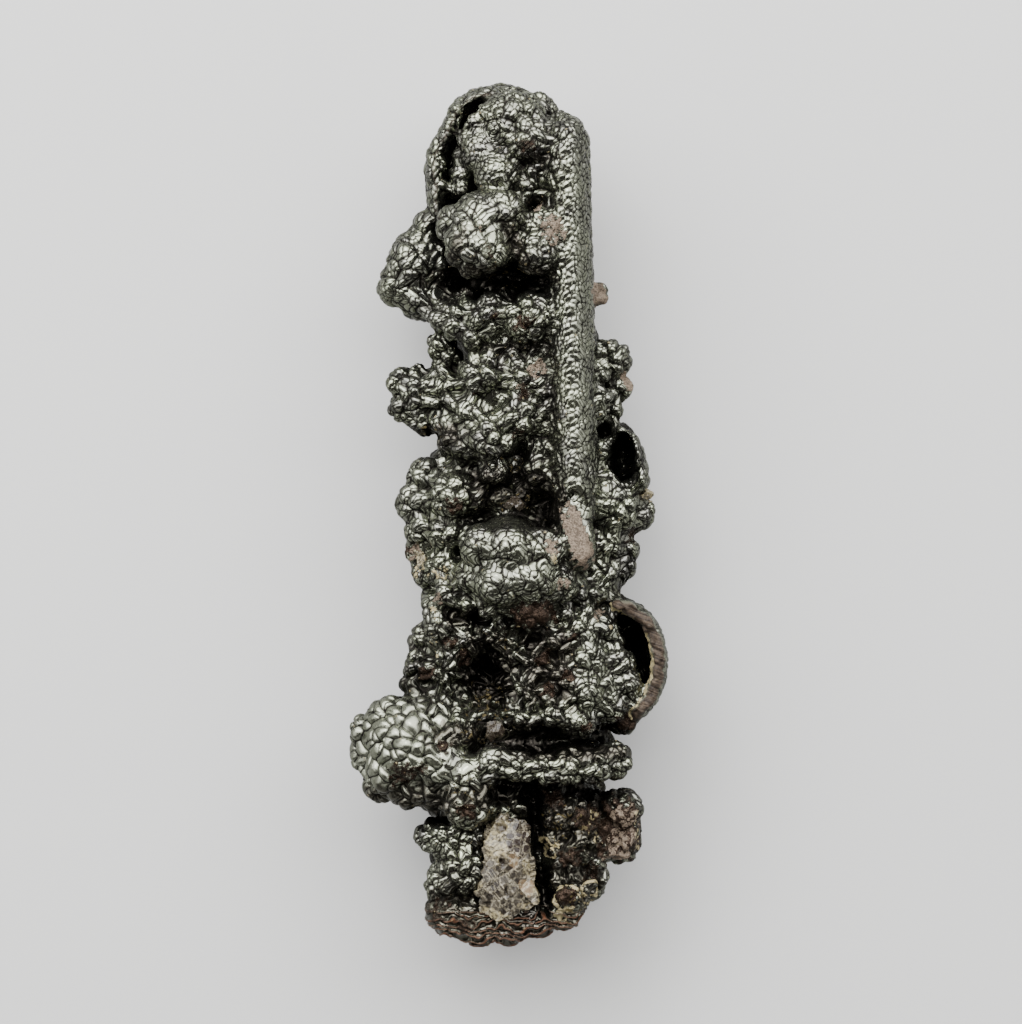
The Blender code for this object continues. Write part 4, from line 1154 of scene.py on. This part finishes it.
# The cleaved calcite: its outline, the patches of colour on it, and how its faces are broken.
CALCITE_OUTLINE = [
    (-1.6, -61.4), (1.4, -61.8), (3.1, -62.6), (4, -65), (4.3, -69), (4.9, -73), (5.4, -77), (5.2, -79.4),
    (3.8, -80.5), (1.5, -81.1), (-0.8, -82.9), (-2.5, -83.5), (-5.8, -81.6), (-6, -79.6), (-5.2, -78.2),
    (-6.3, -77.4), (-6.6, -74.2), (-5.4, -73), (-4.4, -70.4), (-5, -68), (-4.4, -66), (-3.4, -64),
    (-2.6, -62.6),
]
CLEAVAGE_CUTTER = 14.0
SHARP_ANGLE = 35
CALCITE_GRAIN = 0.26 * MM
CRYSTAL_GRAIN = 0.12 * MM
CALCITE_CREAM = [
    (-2.6, -66.4, 2.6, 4.2), (-3.2, -81.8, 3.2, 1.2, -25), (-6, -75.6, 0.6, 1.6), (3.6, -80, 1.6, 0.7),
    (5, -74, 0.4, 5), (-0.6, -62.4, 1, 0.7), (3.6, -72, 1, 1.6),
]
CALCITE_GLASS = [(2.6, -66.4, 1.7, 3.4, -8), (0.6, -67, 0.9, 2.2, 15, 0.9)]
CALCITE_FLAKES = [(1.2, -70, 1, 1.8), (3.6, -76, 1.4, 1.6)]
CALCITE_HOLES = [
    (-1.5, -63.9, 0.8, 0.9, 20), (0.2, -62.2, 0.6, 0.5), (-1.2, -71, 0.5, 0.9, 15),
    (-0.5, -76.9, 0.35, 0.8), (-4.6, -79.4, 0.6, 0.4),
]
HOLE_DEPTH = 0.8

# How creamy the small crystals are, and how much painted shade darkens those in the crevices.
EDGE_CRUST = 0.75
CREVICE_CRUST = 0.25
CREVICE_SHADE = 0.8

# Broken steps of the calcite: spacing, how uneven they stand and how they lean.
LARGE_STEPS = (3.6, 0.42, 0.20)
SMALL_STEPS = (1.5, 0.07, 0.12)
CRYSTAL_STEPS = (0.8, 0.05, 0.10)
STREAKS = [(-1.8, -76.4, 4, 5.4), (2, -68, 2.4, 4.4)]


def steps(places, pattern, chance):
    """Flat faces broken at different heights and leans, and how far the nearest step is."""
    spacing, uneven, lean = pattern
    seeds = scatter(places, np.full(len(places), spacing), chance, 1.0)
    tree = tree_of(places[seeds])
    near = np.array([[(seed, gap) for _, seed, gap in tree.find_n(place, 2)] for place in places])
    own = near[:, 0, 0].astype(int)
    heights = chance.uniform(-uneven, uneven, len(seeds))[own]
    leans = chance.normal(0.0, lean, (len(seeds), 3))[own]
    heights += np.einsum("ij,ij->i", leans, places - places[seeds][own])
    return heights, near[:, 1, 1] - near[:, 0, 1]


def break_faces(piece, patterns, chance, crust):
    """Breaks a crystal's faces into steps and stores its cracks and its patches of colour."""
    places, ways = skin_of(piece)
    lift = np.zeros(len(places))
    gap = np.full(len(places), 10.0)
    for pattern in patterns:
        heights, near = steps(places, pattern, chance)
        lift += heights
        gap = np.minimum(gap, near)
    hole = patch_values(places, CALCITE_HOLES)
    lift -= hole * HOLE_DEPTH
    store(piece, "crack", gap)
    # The holes and the crystals in the crevices are darkened as painted shade.
    store(piece, "hole", np.maximum(hole, CREVICE_SHADE if crust == CREVICE_CRUST else 0.0))
    store(piece, "cream", np.maximum(patch_values(places, CALCITE_CREAM), crust))
    for name, patches in (("streak", STREAKS), ("glass", CALCITE_GLASS), ("flake", CALCITE_FLAKES)):
        store(piece, name, patch_values(places, patches))
    set_skin(piece, places + ways * lift[:, None])


def calcite_slab():
    """The slab's outline is laid down, drawn up, cut by the cleavage faces and broken."""
    deselect_all()
    bpy.ops.mesh.primitive_circle_add(vertices=len(CALCITE_OUTLINE), radius=MM, fill_type="NGON")
    slab = bpy.context.object
    slab.name = "calcite_patch"
    low, high = PATCH_DEPTH
    for vertex, (x, y) in zip(slab.data.vertices, CALCITE_OUTLINE):
        vertex.co = Vector((x, y, low)) * MM
    bpy.ops.object.mode_set(mode="EDIT")
    bpy.ops.mesh.select_all(action="SELECT")
    bpy.ops.mesh.extrude_region_move(TRANSFORM_OT_translate={"value": (0.0, 0.0, (high - low) * MM)})
    bpy.ops.mesh.select_all(action="SELECT")
    bpy.ops.mesh.normals_make_consistent(inside=False)
    bpy.ops.object.mode_set(mode="OBJECT")
    for point, facing in PATCH_FACES:
        cut(slab, break_cutter(point, facing, CLEAVAGE_CUTTER))
    return smooth(remesh(slab, CALCITE_GRAIN), 0.5, 1)


def rhomb(x, y, z, edge, turns):
    """A cleavage rhomb: a cube stood on its corner, squeezed along that axis, and turned."""
    deselect_all()
    bpy.ops.mesh.primitive_cube_add(size=edge * MM, location=(0, 0, 0))
    piece = bpy.context.object
    stand = Vector((1, 1, 1)).rotation_difference(Vector((0, 0, 1))).to_matrix().to_4x4()
    squeeze = Matrix.Diagonal((1.0, 1.0, RHOMB_SQUEEZE, 1.0))
    turn = Matrix.Identity(4)
    for angle, axis in zip(turns, "XYZ"):
        turn = Matrix.Rotation(math.radians(angle), 4, axis) @ turn
    lean = Matrix.Rotation(math.radians(RHOMB_LEAN), 4, "X")
    piece.data.transform(Matrix.Translation(Vector((x, y, z)) * MM) @ turn @ lean @ squeeze @ stand)
    return piece


def crystal_group(name, crystals):
    """Rhombs grown into each other, melted to one skin with slightly worn edges."""
    group = join([rhomb(*crystal) for crystal in crystals])
    group.name = name
    return remesh(group, CRYSTAL_GRAIN)


def colour(name, description, default):
    return FloatVectorProperty(name=name, description=description, default=default, subtype="COLOR")


class GoethiteSettings(bpy.types.PropertyGroup):
    """Sizes and colours of the goethite and the calcite."""

    grain: FloatProperty(
        name="Grain", description="Length of the skin's edges", default=0.0005, min=0.0003, unit="LENGTH"
    )
    seed: IntProperty(name="Seed", description="Order of the scattered knobs and scales", default=7)
    gloss: colour("Gloss", "What a polished scale reflects", (0.198, 0.210, 0.155))
    gloss_dark: colour("Dark gloss", "What the darker areas reflect", (0.115, 0.113, 0.104))
    # The crease colour is painted shade, laid between the scales and deep in the crevices.
    crease: colour("Crease", "Colour between the scales", (0.008, 0.007, 0.006))
    # The satin colour is a painted highlight: a paler metal on the ridge and the lower lobe.
    satin: colour("Satin", "Worn, paler metal of the ridge and the lower lobe", (0.205, 0.215, 0.168))
    # Painted shade: the nearly black colour laid on the recesses, the crevices and the shadows under lobes.
    dull: colour("Dull", "Nearly black skin in the deeper parts", (0.035, 0.030, 0.024))
    brown: colour("Brown", "Brown broken knobs", (0.028, 0.018, 0.012))
    brown_dark: colour("Dark brown", "Darker part of the brown knobs", (0.010, 0.006, 0.004))
    tan: colour("Tan", "Pale broken faces", (0.135, 0.104, 0.076))
    tan_dark: colour("Dark tan", "Darker grains of the broken faces", (0.05, 0.037, 0.026))
    rim: colour("Rim", "Broken rims of the curled walls", (0.055, 0.040, 0.028))
    rim_dark: colour("Dark rim", "Darker fibres of the rims", (0.012, 0.008, 0.006))
    rust: colour("Rust", "Edges of the thin layers at the foot", (0.078, 0.033, 0.017))
    ochre: colour("Ochre", "Yellow specks in the crevices", (0.062, 0.048, 0.019))
    cream: colour("Cream", "Cream crusts", (0.225, 0.190, 0.105))
    calcite: colour("Calcite", "Body colour of the calcite", (0.046, 0.039, 0.028))
    calcite_dark: colour("Dark calcite", "Shaded parts of the calcite", (0.013, 0.010, 0.008))
    calcite_pale: colour("Pale calcite", "Broken edges of the calcite", (0.235, 0.208, 0.150))
    glass: colour("Glassy calcite", "Clear faces that show the dark rock", (0.013, 0.008, 0.0055))
    flake: colour("Pink calcite", "Pinkish flakes", (0.115, 0.080, 0.046))

    def looks(self):
        return {
            name: tuple(getattr(self, name))
            for name in self.__annotations__
            if self.bl_rna.properties[name].subtype == "COLOR"
        }


class StageSettings(bpy.types.PropertyGroup):
    """Floor, light and camera."""

    floor_size: FloatProperty(name="Floor", description="Width of the floor", default=6.0, unit="LENGTH")
    camera_height: FloatProperty(
        name="Camera height", description="Camera's height over the floor", default=1.05, unit="LENGTH"
    )
    brightness: FloatProperty(name="Brightness", description="Radiance of the key light", default=7.4)


class GOETHITE_OT_mass(bpy.types.Operator):
    """Builds the goethite's mass of lobes, knobs and scales"""

    bl_idname = "goethite.mass"
    bl_label = "Goethite mass"

    def execute(self, context):
        settings = context.scene.goethite
        mass = lobed_mass(settings.grain)
        swell(mass, np.random.default_rng(settings.seed))
        mass.data.materials.clear()
        mass.data.materials.append(goethite_material(settings.looks()))
        for piece in part_in_bands(mass):
            piece.data.transform(Matrix.Translation(shift_to_frame()))
            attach(piece, "root")
            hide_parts("goethite")
        return {"FINISHED"}


class GOETHITE_OT_calcite(bpy.types.Operator):
    """Builds the cleaved calcite at the base and the small crystals"""

    bl_idname = "goethite.calcite"
    bl_label = "Calcite"

    def execute(self, context):
        settings = context.scene.goethite
        skin = calcite_material(settings.looks())
        chance = np.random.default_rng(settings.seed)
        slab = calcite_slab()
        break_faces(slab, (LARGE_STEPS, SMALL_STEPS), chance, 0.0)
        made = {slab: "calcite_cleaved_patch"}
        for node, crystals in CRYSTALS.items():
            group = crystal_group(node.replace("calcite", "crystals"), crystals)
            crust = CREVICE_CRUST if "crevice" in node else EDGE_CRUST
            break_faces(group, (CRYSTAL_STEPS,), chance, crust)
            made[group] = node
        for piece, node in made.items():
            piece.data.materials.clear()
            piece.data.materials.append(skin)
            piece.data.transform(Matrix.Translation(shift_to_frame()))
            make_active(piece)
            bpy.ops.object.shade_smooth_by_angle(angle=math.radians(SHARP_ANGLE))
            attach(piece, "root")
            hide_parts(node)
        return {"FINISHED"}


class GOETHITE_OT_stage(bpy.types.Operator):
    """Adds the floor, the lights and the camera"""

    bl_idname = "goethite.stage"
    bl_label = "Stage"

    def execute(self, context):
        stage = context.scene.goethite_stage
        deselect_all()
        bpy.ops.mesh.primitive_plane_add(size=stage.floor_size, location=(0, 0, 0))
        floor = context.object
        floor.name = "floor"
        floor.data.materials.append(floor_material())
        add_camera(stage.camera_height)
        for name, place, size, share in SOFTBOXES:
            add_softbox(name, place, size, stage.brightness * share)
        add_world()
        return {"FINISHED"}


def floor_material():
    made = bpy.data.materials.new("pale_floor")
    tree = node_tree(made)
    shader = tree.nodes["Principled BSDF"]
    n = Nodes(tree)
    place = n.add("ShaderNodeTexCoord").outputs["Object"]
    cloud = n.noise(place, 0.6, 2.0)
    pale = n.mix(cloud, (0.40, 0.40, 0.395), (0.44, 0.44, 0.435))
    mirrored = n.add("ShaderNodeLightPath").outputs["Is Glossy Ray"]
    tree.links.new(n.mix(mirrored, pale, (0.22, 0.22, 0.21)), shader.inputs["Base Color"])
    shader.inputs["Roughness"].default_value = 0.8
    shader.inputs["Specular IOR Level"].default_value = 0.1
    return made


def add_camera(height):
    deselect_all()
    bpy.ops.object.camera_add(location=(0, 0, height), rotation=(0, 0, 0))
    camera = bpy.context.object
    middle = (CAD_BOX[0][2] + CAD_BOX[1][2]) / 2.0
    lens = camera.data
    lens.sensor_fit = "HORIZONTAL"
    lens.sensor_width = 36.0
    lens.lens = lens.sensor_width * (height - middle) * PIXELS_PER_METRE / PHOTO_WIDTH
    lens.shift_x = (PHOTO_WIDTH / 2 - ORIGIN_PIXEL[0]) / PHOTO_WIDTH
    lens.shift_y = (ORIGIN_PIXEL[1] - PHOTO_HEIGHT / 2) / PHOTO_WIDTH
    bpy.context.scene.camera = camera


# Soft lights: where each stands, its size, and its brightness against the key light's.
SOFTBOXES = [
    ("key_light", (-0.05, 0.65, 0.69), (2.5, 1.40), 1.05),
    ("left_light", (-1.15, -0.10, 0.55), (1.0, 0.9), 0.38),
    ("right_light", (1.15, -0.10, 0.55), (1.0, 0.9), 0.28),
    ("core_light", (-0.25, 0.55, 0.74), (0.42, 0.30), 1.6),
    ("foot_light", (0.0, -1.2, 0.5), (1.6, 0.5), 0.16),
]


def add_softbox(name, place, size, radiance):
    """An area light of an even radiance that looks at the specimen's middle."""
    deselect_all()
    way = Vector(place) - Vector((0.0, 0.0, 0.02))
    bpy.ops.object.light_add(type="AREA", location=place, rotation=way.to_track_quat("Z", "Y").to_euler())
    light = bpy.context.object
    light.name = name
    light.data.shape = "RECTANGLE"
    light.data.size, light.data.size_y = size
    light.data.energy = radiance * math.pi * size[0] * size[1]
    light.visible_camera = False
    return light


def add_world():
    world = bpy.data.worlds.new("studio")
    world.use_nodes = True
    tree = world.node_tree
    n = Nodes(tree)
    mirrored = n.add("ShaderNodeLightPath").outputs["Is Glossy Ray"]
    shade = n.mix(mirrored, (0.30, 0.30, 0.30), (0.05, 0.040, 0.033))
    tree.links.new(shade, tree.nodes["Background"].inputs["Color"])
    bpy.context.scene.world = world


class GOETHITE_PT_panel(bpy.types.Panel):
    """Shows the settings and the building buttons in the sidebar"""

    bl_idname = "GOETHITE_PT_panel"
    bl_label = "Goethite with calcite"
    bl_space_type = "VIEW_3D"
    bl_region_type = "UI"
    bl_category = "Goethite"

    def draw(self, context):
        layout = self.layout
        for settings in (context.scene.goethite, context.scene.goethite_stage):
            for name in settings.__annotations__:
                layout.prop(settings, name)
        for operator in OPERATORS:
            layout.operator(operator.bl_idname)


OPERATORS = (GOETHITE_OT_mass, GOETHITE_OT_calcite, GOETHITE_OT_stage)
CLASSES = (GoethiteSettings, StageSettings, *OPERATORS, GOETHITE_PT_panel)


def register():
    for item in CLASSES:
        bpy.utils.register_class(item)
    bpy.types.Scene.goethite = PointerProperty(type=GoethiteSettings)
    bpy.types.Scene.goethite_stage = PointerProperty(type=StageSettings)


def unregister():
    del bpy.types.Scene.goethite_stage
    del bpy.types.Scene.goethite
    for item in reversed(CLASSES):
        bpy.utils.unregister_class(item)


def main():
    register()
    bpy.ops.goethite.mass()
    bpy.ops.goethite.calcite()
    bpy.ops.goethite.stage()


if __name__ == "__main__":
    main()
